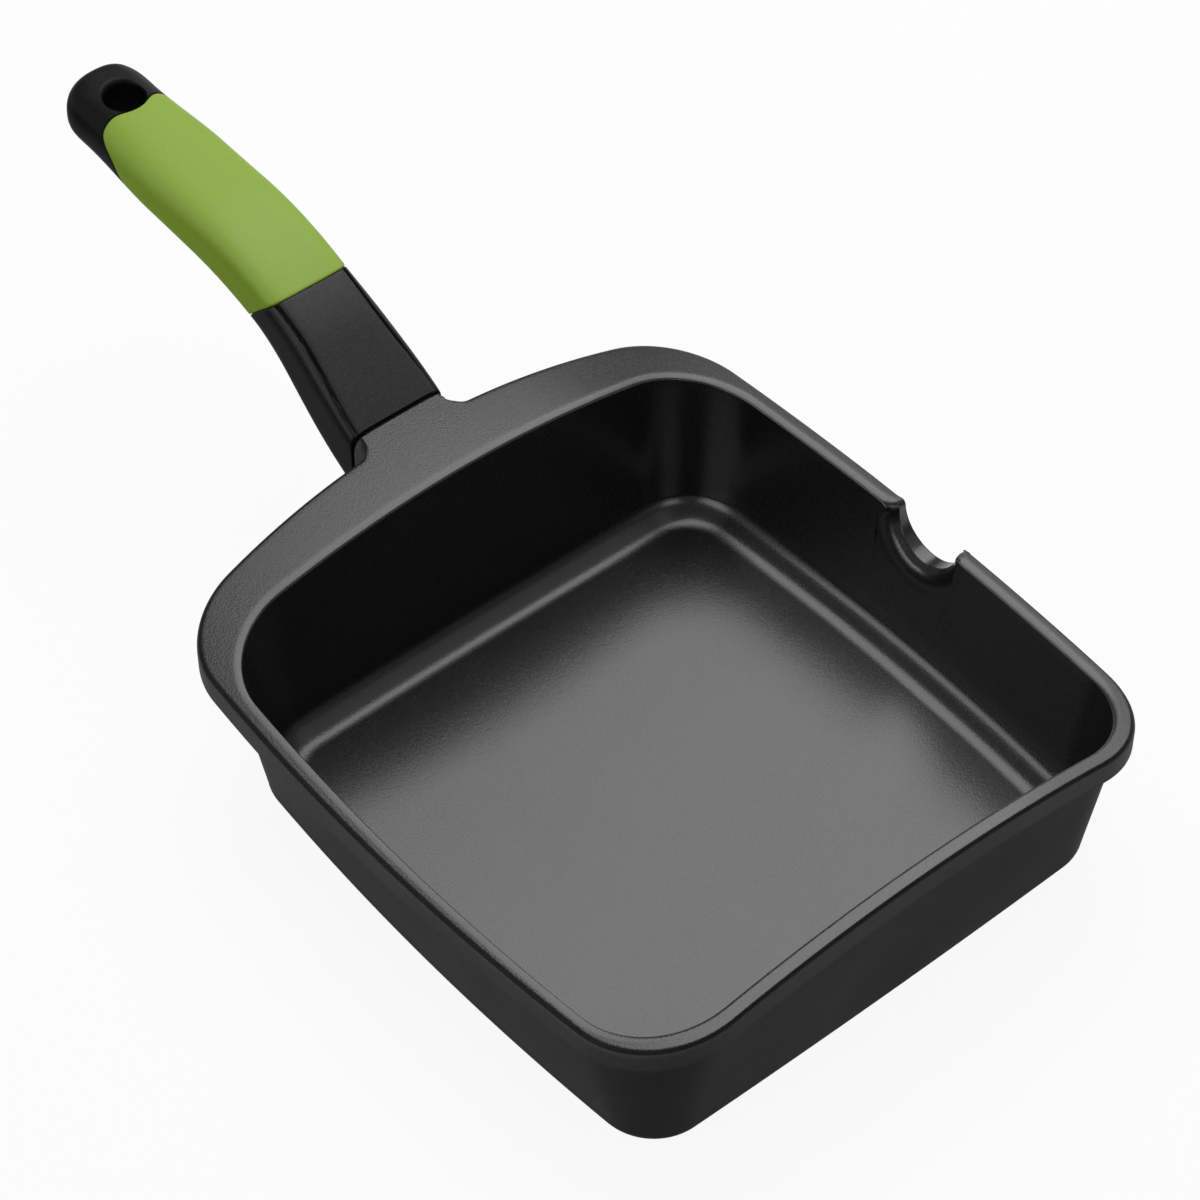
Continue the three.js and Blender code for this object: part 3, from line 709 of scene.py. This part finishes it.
# darker, duller coat for a band of the rim's outer round where the inside coat ends: painted shade along
# the edge
edgeShadeCoat = grainedFinish("edgeShadeCoat", {
    **coatLook, "dark": (0.0055, 0.0055, 0.0056), "light": (0.0095, 0.0095, 0.0097),
    "worn": (0.012, 0.012, 0.012),
    "roughness": (0.45, 0.55), "bumpDepth": 0.00006, "gloss": (0.05, 0.12), "sideShadeFacing": (0.1, 0.9),
})


def buildCastBody():
    grid, kinds = castRows()
    grid = cutNotch(grid, kinds)
    inside = np.isin(kinds, ["floor", "fillet", "wall", "rimIn", "rimTop", "rimEdge"])
    # the band on the outer round takes the darker coat that paints the edge's shade
    slots = np.where(inside, 0, np.where(kinds == "rimSeam", 2, 1))
    piece = gridPiece("pan_casting", grid, [nonStick, outsideCoat, edgeShadeCoat], rowSlots=slots)
    return settle(piece, "coated_cast", "pan_body")


buildCastBody()


# handle

def handleSpot(points):
    # from the handle's own frame, y along its first stretch, to the pan's frame
    f = handleForm
    half = f["height"][0] / 2
    c, s = math.cos(f["risePitch"]), math.sin(f["risePitch"])
    y0 = jointTop + half * s
    z0 = castBody["rimHeight"] - castStub["drop"] - half * c
    x, y, z = np.moveaxis(points, -1, 0)
    return pile(x, y0 + y * c - z * s, z0 + y * s + z * c)


def handlePath(s):
    # straight, an arc downwards, straight: place and turn at a length s
    f = handleForm
    most = f["risePitch"] - f["levelPitch"]
    turn = np.clip((s - f["riseLength"]) / f["bendRadius"], 0, most)
    rest = np.maximum(s - f["riseLength"] - f["bendRadius"] * most, 0)
    y = np.minimum(s, f["riseLength"]) + f["bendRadius"] * np.sin(turn) + rest * np.cos(turn)
    z = -f["bendRadius"] * (1 - np.cos(turn)) - rest * np.sin(turn)
    return y, z, turn


def handleSection(s):
    # width, height and squareness eased between stations
    f = handleForm
    at = np.array(f["at"], float)
    i = np.clip(np.searchsorted(at, s, side="right") - 1, 0, len(at) - 2)
    t = ease((s - at[i]) / (at[i + 1] - at[i]))
    pick = lambda key: part(np.array(f[key], float)[i], np.array(f[key], float)[i + 1], t)
    return pick("width"), pick("height"), pick("power")


def roundAngles(count, power):
    # angles whose points on a superellipse lie about evenly: in each quarter q^k / (q^k + (1-q)^k)
    q = np.arange(count) / count * 4
    quarter, q = np.floor(q), q % 1
    k = power / 2
    return (quarter + q ** k / (q ** k + (1 - q) ** k)) * math.pi / 2


def superellipse(a, b, power, angle):
    c, s = np.cos(angle), np.sin(angle)
    return (a * np.sign(c) * np.abs(c) ** (2 / power), b * np.sign(s) * np.abs(s) ** (2 / power))


def jointPlace(height, offset):
    # length along the handle at which the upright joint face, moved out by an offset, lies at a height
    f = handleForm
    return (height - f["height"][0] / 2) * math.tan(f["risePitch"]) + offset / math.cos(f["risePitch"])


def handleSurface(s, angle, inset=0, shrink=(1, 1), shape=None):
    # superellipse section carried along the path; s, angle and inset may be whole arrays
    width, height, power = handleSection(s)
    x, h = superellipse((width / 2 - inset) * shrink[0], (height / 2 - inset) * shrink[1], power, angle)
    if shape is not None:
        x, h = shape(s, x, h)
    y, z, turn = handlePath(s)
    return handleSpot(pile(x, y + h * np.sin(turn), z + h * np.cos(turn)))


gripForm = {
    "start": 50.7, "slant": 9.9, "end": 139.8, "rake": 11.2, "bulge": 0.25, "skew": 1.3,
    "scallop": 4.4, "scallopPower": 14, "thickness": 2, "edgeRound": 0.7, "gap": 0.2,
    "around": 240, "spacing": 3.2, "rows": 110, "insideRows": 24, "edgeRows": 6,
}
coreForm = {
    "start": 1.4, "round": 0.4, "seatGap": 0.1,
    "crease": 1.9, "creaseWidth": 0.6, "creaseAt": (16.7, 14.1), "creaseRun": 40, "creaseRise": 0.3,
    "shoulder": 0.35, "flatRun": 34, "flatEdge": 0.8,
    "holeAt": 154.6, "holeRadius": 7.2, "holeFlare": 2.6, "holeClear": 4, "holeRows": 12,
    "screwAt": 19, "screwBore": 4.9, "screwSeat": -7, "screwReach": -30,
    "around": 480, "riseRows": 60, "seatRows": 24, "tailRows": 26, "edgeRows": 5,
}


def lift(angle, power):
    # height of a section's point, from -1 at its bottom to 1 at its top
    return superellipse(1, 1, power, angle)[1]


def sleeveFront(angle):
    # plane that slants back towards the bottom
    return gripForm["start"] + gripForm["slant"] * (1 - lift(angle, handleForm["power"][1])) / 2


def sleeveTail(angle):
    # raked edge, fuller above the middle, with a dip in front of the hang hole
    g = gripForm
    up = lift(angle, handleForm["power"][3])
    fuller = g["bulge"] * np.sin(math.pi * np.clip(up, 0, 1)) ** 2
    dip = g["scallop"] * np.maximum(np.sin(angle), 0) ** g["scallopPower"]
    return g["end"] + g["rake"] * (up + fuller) + g["skew"] * np.cos(angle) - dip


def creased(s, x, h):
    # flat top between two creases: gaussian dips at its edges, and a small step down outside them
    c = coreForm
    at = part(c["creaseAt"][0], c["creaseAt"][1], ease(np.clip(s / c["creaseRun"], 0, 1)))
    beyond = np.abs(x) - at
    upper = ease(h / (c["creaseRise"] * handleForm["height"][0]))  # nothing below the middle
    away = beyond / c["creaseWidth"]
    dip = c["crease"] * np.exp(-(away ** 2)) + c["shoulder"] * ease(away)
    # near the joint the top is quite flat
    flat = (1 - ease(s / c["flatRun"])) * (1 - ease(beyond / c["flatEdge"])) * upper
    return x, part(h, handleForm["height"][0] / 2, flat) - dip * upper


def coreGrid():
    f, g, c = handleForm, gripForm, coreForm
    rows = []
    q = c["around"]

    def add(place, inset=0, shrink=(1, 1), shape=None):
        s = np.broadcast_to(np.asarray(place, float), (q,))
        power = handleSection(s)[2]
        rows.append(handleSurface(s, roundAngles(q, power), inset, shrink, shape))

    jointPower = f["power"][0]
    jointAngles = roundAngles(q, jointPower)

    def jointRow(inset, offset, share=1):
        h = (f["height"][0] / 2 - inset) * share * lift(jointAngles, jointPower)
        return jointPlace(h, offset)

    front = sleeveFront(roundAngles(q, f["power"][1]))
    tail = sleeveTail(roundAngles(q, f["power"][3]))
    for t in (0, 0.5):
        add(jointRow(0, c["start"], t), 0, (t, t))
    quarter = quarterTurn(c["edgeRows"])
    for a in quarter:
        inset = c["round"] * (1 - math.sin(a))
        add(jointRow(inset, c["start"] + c["round"] * (1 - math.cos(a))), inset, (1, 1), creased)
    first = jointRow(0, c["start"] + c["round"])
    for t in np.linspace(0, 1, c["riseRows"])[1:-1]:
        add(part(first, front - c["round"], t), 0, (1, 1), creased)
    for a in quarter:
        add(front - c["round"] * (1 - math.sin(a)), c["round"] * (1 - math.cos(a)), (1, 1), creased)
    for t in np.linspace(0, 1, c["seatRows"]):
        add(part(front, tail, t), g["thickness"] + c["seatGap"])
    tailRow = len(rows)
    for a in quarter[::-1]:
        add(tail + c["round"] * (1 - math.sin(a)), c["round"] * (1 - math.cos(a)))
    roundStart = f["length"] - f["tailRound"]
    for t in np.linspace(0, 1, c["tailRows"])[1:]:
        add(part(tail + c["round"], roundStart, t))
    for t in np.linspace(0, 1, c["tailRows"])[1:]:
        share = math.sin(math.pi / 2 * t)
        edge = max(1 - f["tailRound"] * (1 - share) / f["tailEdge"], 0)
        narrow = (1 - share ** f["tailPower"]) ** (1 / f["tailPower"])
        add(roundStart + f["tailRound"] * share, 0, (narrow, math.sqrt(1 - edge ** 2)))
    return np.array(rows), np.arange(len(rows)) > tailRow


def latheGrid(profile, at, turnToPath, count=96):
    # profile of (radius, height) spun round the handle's cross axis at a place along it
    r, h = np.array(profile, float).T
    a = np.arange(count) / count * 2 * math.pi
    y, z, turn = handlePath(np.float64(at))
    turn = turn if turnToPath else 0
    px = r[:, None] * np.cos(a)
    py = r[:, None] * np.sin(a)
    pz = h[:, None] + 0 * a
    along = py * math.cos(turn) + pz * math.sin(turn)
    up = -py * math.sin(turn) + pz * math.cos(turn)
    return handleSpot(pile(px, y + along, z + up))


def cutWith(piece, cutters, sharp=35):
    # exact difference, then the cutters go
    for cutter in cutters:
        step = piece.modifiers.new("cut", "BOOLEAN")
        step.operation, step.solver, step.object = "DIFFERENCE", "EXACT", cutter
    bpy.context.view_layer.update()
    shown = piece.evaluated_get(bpy.context.evaluated_depsgraph_get())
    mesh = bpy.data.meshes.new_from_object(shown)
    piece.modifiers.clear()
    piece.data = mesh
    mesh.shade_smooth()
    mesh.set_sharp_from_angle(angle=math.radians(sharp))
    for cutter in cutters:
        bpy.data.objects.remove(cutter)


handleLook = {
    "cellScale": 1700.0, "noiseScale": 1100.0, "patchScale": 30.0, "wornShare": 0.35,
    "roughJitter": 0.05, "bump": 0.3, "bumpDepth": 0.00006, "glossJitter": 0.12, "ior": 1.5,
}
# its gloss falls almost to nothing on the handle's sides: painted shade on them
handleBlack = grainedFinish("handleBlack", {
    **handleLook, "dark": (0.0065, 0.0065, 0.0068), "light": (0.0105, 0.0105, 0.011),
    "worn": (0.012, 0.012, 0.0125), "roughness": (0.40, 0.48),
    "gloss": (0.02, 0.33), "sideShadeFacing": (0.3, 0.8),
})
# darker, duller copy of the handle's black for the tail, which is the same plastic: painted shade on the
# tail
shadedTailBlack = grainedFinish("shadedTailBlack", {
    **handleLook, "dark": (0.0022, 0.0022, 0.0023), "light": (0.0042, 0.0042, 0.0044),
    "worn": (0.005, 0.005, 0.0052), "roughness": (0.42, 0.50),
    "gloss": (0.02, 0.15), "sideShadeFacing": (0.4, 0.9),
})
# its gloss falls away on the sleeve's sides: painted shade on them
gripGreen = grainedFinish("gripGreen", {
    **handleLook, "dark": (0.201, 0.321, 0.023), "light": (0.219, 0.344, 0.029),
    "worn": (0.226, 0.348, 0.037), "cellScale": 1900.0, "noiseScale": 1300.0, "patchScale": 26.0,
    "roughness": (0.50, 0.58), "bump": 0.2, "bumpDepth": 0.00004,
    "gloss": (0.03, 0.5), "sideShadeFacing": (0.2, 0.8), "glossJitter": 0.1, "ior": 1.45,
})
# black for the plate in the joint, which darkens the joint line: partly painted shade of the gap
jointShadeRubber = grainedFinish("jointShadeRubber", {
    **handleLook, "dark": (0.005, 0.005, 0.005), "light": (0.009, 0.009, 0.009),
    "worn": (0.012, 0.012, 0.012), "wornShare": 0.4,
    "cellScale": 1500.0, "noiseScale": 900.0, "patchScale": 40.0,
    "roughness": (0.65, 0.75), "bumpDepth": 0.00005,
    "gloss": (0.1, 0.3), "sideShadeFacing": (0.1, 0.8), "glossJitter": 0.1, "ior": 1.45,
})


def buildHandleCore():
    c = coreForm
    grid, isTail = coreGrid()
    # rows past the sleeve take the tail's copy of the black, painted darker as shade
    piece = gridPiece("handle_body", grid, [handleBlack, shadedTailBlack], rowSlots=isTail.astype(int), sharp=50)
    half = handleSection(np.float64(c["holeAt"]))[1] / 2
    r, flare = c["holeRadius"], c["holeFlare"]
    bend = [(r + flare * (1 - math.cos(a)), half - flare + flare * math.sin(a))
            for a in quarterTurn(c["holeRows"])]
    above = half + c["holeClear"]
    upper = bend + [(r + 2 * flare, half), (r + 2 * flare, above), (0, above)]
    profile = [(x, -h) for x, h in upper[::-1]] + upper
    hole = gridPiece("hangHoleCutter", latheGrid(profile, c["holeAt"], True), [shadedTailBlack])
    wide, low, seat = c["screwBore"], c["screwReach"], c["screwSeat"]
    bore = [(0, low), (wide, low), (wide, seat), (0, seat)]
    passage = gridPiece("screwPassageCutter", latheGrid(bore, c["screwAt"], False), [handleBlack])
    cutWith(piece, [hole, passage])
    return settle(piece, "handle_black", "handle_core")


def buildGripSleeve():
    # tube over the core with rounded ends: front round, outer rows, tail round, inner rows
    g = gripForm
    angle = roundAngles(g["around"], g["spacing"])
    front, tail = sleeveFront(angle) + g["gap"], sleeveTail(angle) - g["gap"]
    r = g["edgeRound"]
    rows = []
    quarter = quarterTurn(g["edgeRows"])
    for a in quarter[:-1]:
        rows.append(handleSurface(front + r * (1 - math.cos(a)), angle, r * (1 - math.sin(a))))
    for t in np.linspace(0, 1, g["rows"]):
        rows.append(handleSurface(part(front + r, tail - r, t), angle))
    for a in quarter[1:]:
        rows.append(handleSurface(tail - r * (1 - math.sin(a)), angle, r * (1 - math.cos(a))))
    for t in np.linspace(1, 0, g["insideRows"]):
        rows.append(handleSurface(part(front, tail, t), angle, g["thickness"]))
    piece = gridPiece("grip_sleeve_soft", np.array(rows), [gripGreen], wrapRows=True, sharp=60)
    return settle(piece, "grip_green", "grip_sleeve")


buildHandleCore()
buildGripSleeve()


sealForm = {
    # offset from the joint face, inset from the handle's side, and share of the section
    "rows": ((0.3, 1.2, 0), (0.3, 1.35, 1), (0.45, 1.2, 1), (0.95, 1.2, 1), (1.1, 1.35, 1), (1.1, 1.2, 0)),
    "around": 160,
}
stubForm = {
    "edge": 0.4, "flare": 6.0, "flareShare": 0.7, "sunk": 1.5, "under": 0.4, "fallInset": 0.6, "fall": 0.9,
    "around": 240, "edgeRows": 5, "rows": 30,
}


def buildSeal():
    # thin plate of the handle's section between the stub and the handle, drawn in; the recess shades
    # itself, and the plate's black paints the rest of the dark joint line
    f = handleForm
    angle = roundAngles(sealForm["around"], f["power"][0])
    rows = []
    for offset, inset, share in sealForm["rows"]:
        h = (f["height"][0] / 2 - inset) * share * lift(angle, f["power"][0])
        rows.append(handleSurface(jointPlace(h, offset), angle, inset, (share, share)))
    piece = gridPiece("joint_seal", np.array(rows), [jointShadeRubber], sharp=40)
    return settle(piece, "heat_break", "joint_gasket")


def buildStub():
    # bar of the joint's section from the upright joint face back along the handle's axis into the wall,
    # kept under the flange's top and flared where it meets the wall
    f, b, k = handleForm, castBody, stubForm
    half, wide = f["height"][0] / 2, f["width"][0] / 2
    angle = roundAngles(k["around"], f["power"][0])
    x, h = superellipse(wide, half, f["power"][0], angle)
    c, s = math.cos(f["risePitch"]), math.sin(f["risePitch"])
    y0, z0 = jointTop + half * s, b["rimHeight"] - castStub["drop"] - half * c
    wallTop = b["rimHeight"] - b["lipHeight"] - b["lipFillet"]
    slope = (b["baseInset"] + b["rimWidth"] - b["lipOverhang"]) / (wallTop - b["baseRound"])
    start = mouthY - b["baseInset"] - slope * b["baseRound"]
    # where the bar meets the outer wall
    wall = (start + slope * (z0 + h * c) - y0 + h * s) / (c - slope * s)
    edge, flare, sunk = k["edge"], k["flare"], k["sunk"]
    rows = []
    for t in (0, 0.5):
        rows.append(pile(x * t, jointPlace(h * t, 0), h * t))
    for a in quarterTurn(k["edgeRows"]):
        inset = edge * (1 - math.sin(a))
        hh = h * (1 - inset / half)
        rows.append(pile(x * (1 - inset / wide), jointPlace(hh, -edge * (1 - math.cos(a))), hh))
    first = jointPlace(h, -edge)
    for t in np.linspace(0, 1, k["rows"])[1:]:
        y = part(first, wall - sunk, t)
        near = np.clip((y - wall) / flare, 0, 1)
        grow = flare * (1 - np.sqrt(1 - (1 - near) ** 2)) * k["flareShare"]
        rows.append(pile(x * (1 + grow / wide), y, h + np.minimum(h / half, 0) * grow))
    rows.append(pile(x * 0, wall.mean() - sunk, 0))
    grid = handleSpot(np.array(rows))
    over = np.maximum(np.abs(grid[..., 0]) - castStub["topWidth"] / 2 + k["fallInset"], 0)
    grid[..., 2] = np.minimum(grid[..., 2], crown(grid[..., 0]) - k["under"] - k["fall"] * over)
    piece = gridPiece("cast_stub", grid, [outsideCoat], sharp=40)
    return settle(piece, "coated_cast")


buildSeal()
buildStub()


# metal pieces: the plate, and the screw and its washer, which keep their CAD shape

def brushedMetal(name, look):
    # bright metal with fine turned lines: rings about the object's z axis, broken by noise
    material, tree, shader = newMaterial(name)
    shader.inputs["Metallic"].default_value = 1
    spot = tree.nodes.new("ShaderNodeTexCoord").outputs["Object"]
    rings = node(tree, "ShaderNodeTexWave", wave_type="RINGS", rings_direction="Z", Vector=spot,
                 Scale=look["lines"], Distortion=2.0, Detail=3.0, Detail_Scale=2.0).outputs[1]
    patch = node(tree, "ShaderNodeGroup", node_tree=handledPatches, Vector=spot, Scale=look["patchScale"])
    tint = mixColor(tree, patch.outputs["Mask"], look["dark"], look["light"])
    link(tint, shader.inputs["Base Color"])
    link(mapRange(tree, rings, 0, 1, *look["roughness"]), shader.inputs["Roughness"])
    bump = node(tree, "ShaderNodeBump", Strength=0.2, Distance=0.00004, Height=rings)
    link(bump.outputs["Normal"], shader.inputs["Normal"])
    return material


plateForm = {
    "thickness": 0.9, "edge": 0.3, "turnedRadius": 68, "rows": 137, "edgeRows": 4,
    "grooves": (14, 25, 36, 47, 58), "grooveWidth": 1.5, "grooveDepth": 0.4,
}


def buildPlate():
    # rows from the hidden top's middle out, round the edge, then inward in circles, with grooves of
    # depth exp(-(distance / width)^4)
    p = plateForm
    edge = plateRing(0)
    turn = edge / np.linalg.norm(edge, axis=1, keepdims=True)
    rows = [withZ(edge * 0, p["thickness"]), withZ(plateRing(-p["edge"]), p["thickness"])]
    for z in (p["thickness"] - p["edge"], p["edge"]):
        rows.append(withZ(edge, z))
    for a in quarterTurn(p["edgeRows"])[1:]:
        rows.append(withZ(plateRing(-p["edge"] * (1 - math.cos(a))), p["edge"] * (1 - math.sin(a))))
    for radius in np.linspace(p["turnedRadius"], 0, p["rows"]):
        away = (radius - np.array(p["grooves"])) / p["grooveWidth"]
        rows.append(withZ(turn * radius, p["grooveDepth"] * np.exp(-away ** 4).sum()))
    piece = gridPiece("induction_plate_turned", np.array(rows), [plateSteel], sharp=50)
    return settle(piece, "stainless_plate", "induction_plate")


plateSteel = brushedMetal("plateSteel", {
    "dark": (0.42, 0.42, 0.43), "light": (0.54, 0.54, 0.55), "roughness": (0.28, 0.40),
    "lines": 260.0, "patchScale": 14.0,
})
screwSteel = brushedMetal("screwSteel", {
    "dark": (0.46, 0.46, 0.46), "light": (0.58, 0.58, 0.58), "roughness": (0.25, 0.36),
    "lines": 500.0, "patchScale": 60.0,
})
buildPlate()
for name in ("handle_screw", "lock_washer"):
    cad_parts[name].data.materials.clear()
    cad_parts[name].data.materials.append(screwSteel)


# floor and light

studio = {
    "floorSize": 6.0, "floorCells": 12, "floorDrop": 0.00005,
    "floorColor": (0.7, 0.7, 0.7), "floorRoughness": 0.9, "floorGloss": 0.1, "whiteShare": 0.92,
    "horizon": 1.0, "zenith": 0.2, "fadeFrom": 0.10, "fadeTo": 0.26, "ambient": 0.43,
}
keyBox = {"distance": 1.3, "axis": (0, 1, 0), "diffuse": True}
card = {"distance": 1.3, "axis": (0, 0, 1), "diffuse": False}
softboxes = {
    "keySoftbox": {**keyBox, "toward": (0.28, 0.31, 0.91), "size": (1.32, 1.0), "radiance": 3.1},
    "sideCard": {**card, "toward": (-0.866, 0.122, 0.485), "size": (1.6, 0.54), "radiance": 2.6},
    "rightCard": {**card, "toward": (0.7905, 0.3194, 0.5225), "size": (0.56, 0.5), "radiance": 1.8},
    "frontCard": {**card, "toward": (-0.1167, -0.8305, 0.5446), "size": (0.5, 0.4), "radiance": 2.2},
    "topFill": {**keyBox, "toward": (0.42, -0.34, 0.84), "size": (0.9, 0.9), "radiance": 0.34,
                "distance": 1.4},
}


def seenMix(tree):
    # one for camera, glossy and transmission rays, nothing for the rest
    path = tree.nodes.new("ShaderNodeLightPath")
    first = mathNode(tree, "MAXIMUM", path.outputs["Is Camera Ray"], path.outputs["Is Glossy Ray"])
    return mathNode(tree, "MAXIMUM", first, path.outputs["Is Transmission Ray"])


def addFloor():
    half, cells = studio["floorSize"] / 2, studio["floorCells"]
    side = np.linspace(-half, half, cells + 1)
    u, v = np.meshgrid(side, side)
    points = pile(u, v, -studio["floorDrop"]).reshape(-1, 3)
    i = np.arange(cells)[:, None] * (cells + 1) + np.arange(cells)
    quads = pile(i, i + 1, i + cells + 2, i + cells + 1).reshape(-1, 4)
    mesh = bpy.data.meshes.new("studio_floor")
    mesh.from_pydata(points.tolist(), [], quads.tolist())
    floor = bpy.data.objects.new("studio_floor", mesh)
    scene.collection.objects.link(floor)
    material, tree, shader = newMaterial("paleFloor")
    shader.inputs["Base Color"].default_value = (*studio["floorColor"], 1)
    shader.inputs["Roughness"].default_value = studio["floorRoughness"]
    shader.inputs["Specular IOR Level"].default_value = studio["floorGloss"]
    glow = node(tree, "ShaderNodeEmission", Strength=1.0)
    mix = tree.nodes.new("ShaderNodeMixShader")
    link(mathNode(tree, "MULTIPLY", seenMix(tree), studio["whiteShare"]), mix.inputs[0])
    link(shader.outputs[0], mix.inputs[1])
    link(glow.outputs[0], mix.inputs[2])
    link(mix.outputs[0], tree.nodes["Material Output"].inputs["Surface"])
    mesh.materials.append(material)


def addWorld():
    world = bpy.data.worlds.new("studio")
    world.use_nodes = True
    scene.world = world
    tree = world.node_tree
    back = tree.nodes["Background"]
    back.inputs["Color"].default_value = (1, 1, 1, 1)
    way = tree.nodes.new("ShaderNodeTexCoord").outputs["Generated"]
    axes = node(tree, "ShaderNodeSeparateXYZ", Vector=way)
    ends = (studio[key] for key in ("fadeFrom", "fadeTo", "horizon", "zenith"))
    fade = mapRange(tree, axes.outputs["Z"], *ends)
    fade.node.interpolation_type = "SMOOTHSTEP"
    shown = mathNode(tree, "MULTIPLY", mathNode(tree, "SUBTRACT", fade, studio["ambient"]), seenMix(tree))
    link(mathNode(tree, "ADD", shown, studio["ambient"]), back.inputs["Strength"])


def addSoftbox(name, box):
    # rectangle that faces the pan, its first side square to an axis; a card only shows in gloss
    data = bpy.data.lights.new(name, "AREA")
    data.shape = "RECTANGLE"
    data.size, data.size_y = box["size"]
    data.energy = math.pi * data.size * data.size_y * box["radiance"]
    lamp = bpy.data.objects.new(name, data)
    aim = Vector(box["toward"]).normalized()
    across = Vector(box["axis"]).cross(aim).normalized()
    lamp.matrix_world = Matrix.Translation(aim * box["distance"]) @ Matrix(
        (across, aim.cross(across), aim)).transposed().to_4x4()
    lamp.visible_camera = False
    lamp.visible_diffuse = box["diffuse"]
    scene.collection.objects.link(lamp)


addFloor()
addWorld()
for name, box in softboxes.items():
    addSoftbox(name, box)
scene.view_settings.view_transform = "Standard"
print("stage: floor, world and softboxes", ", ".join(softboxes))
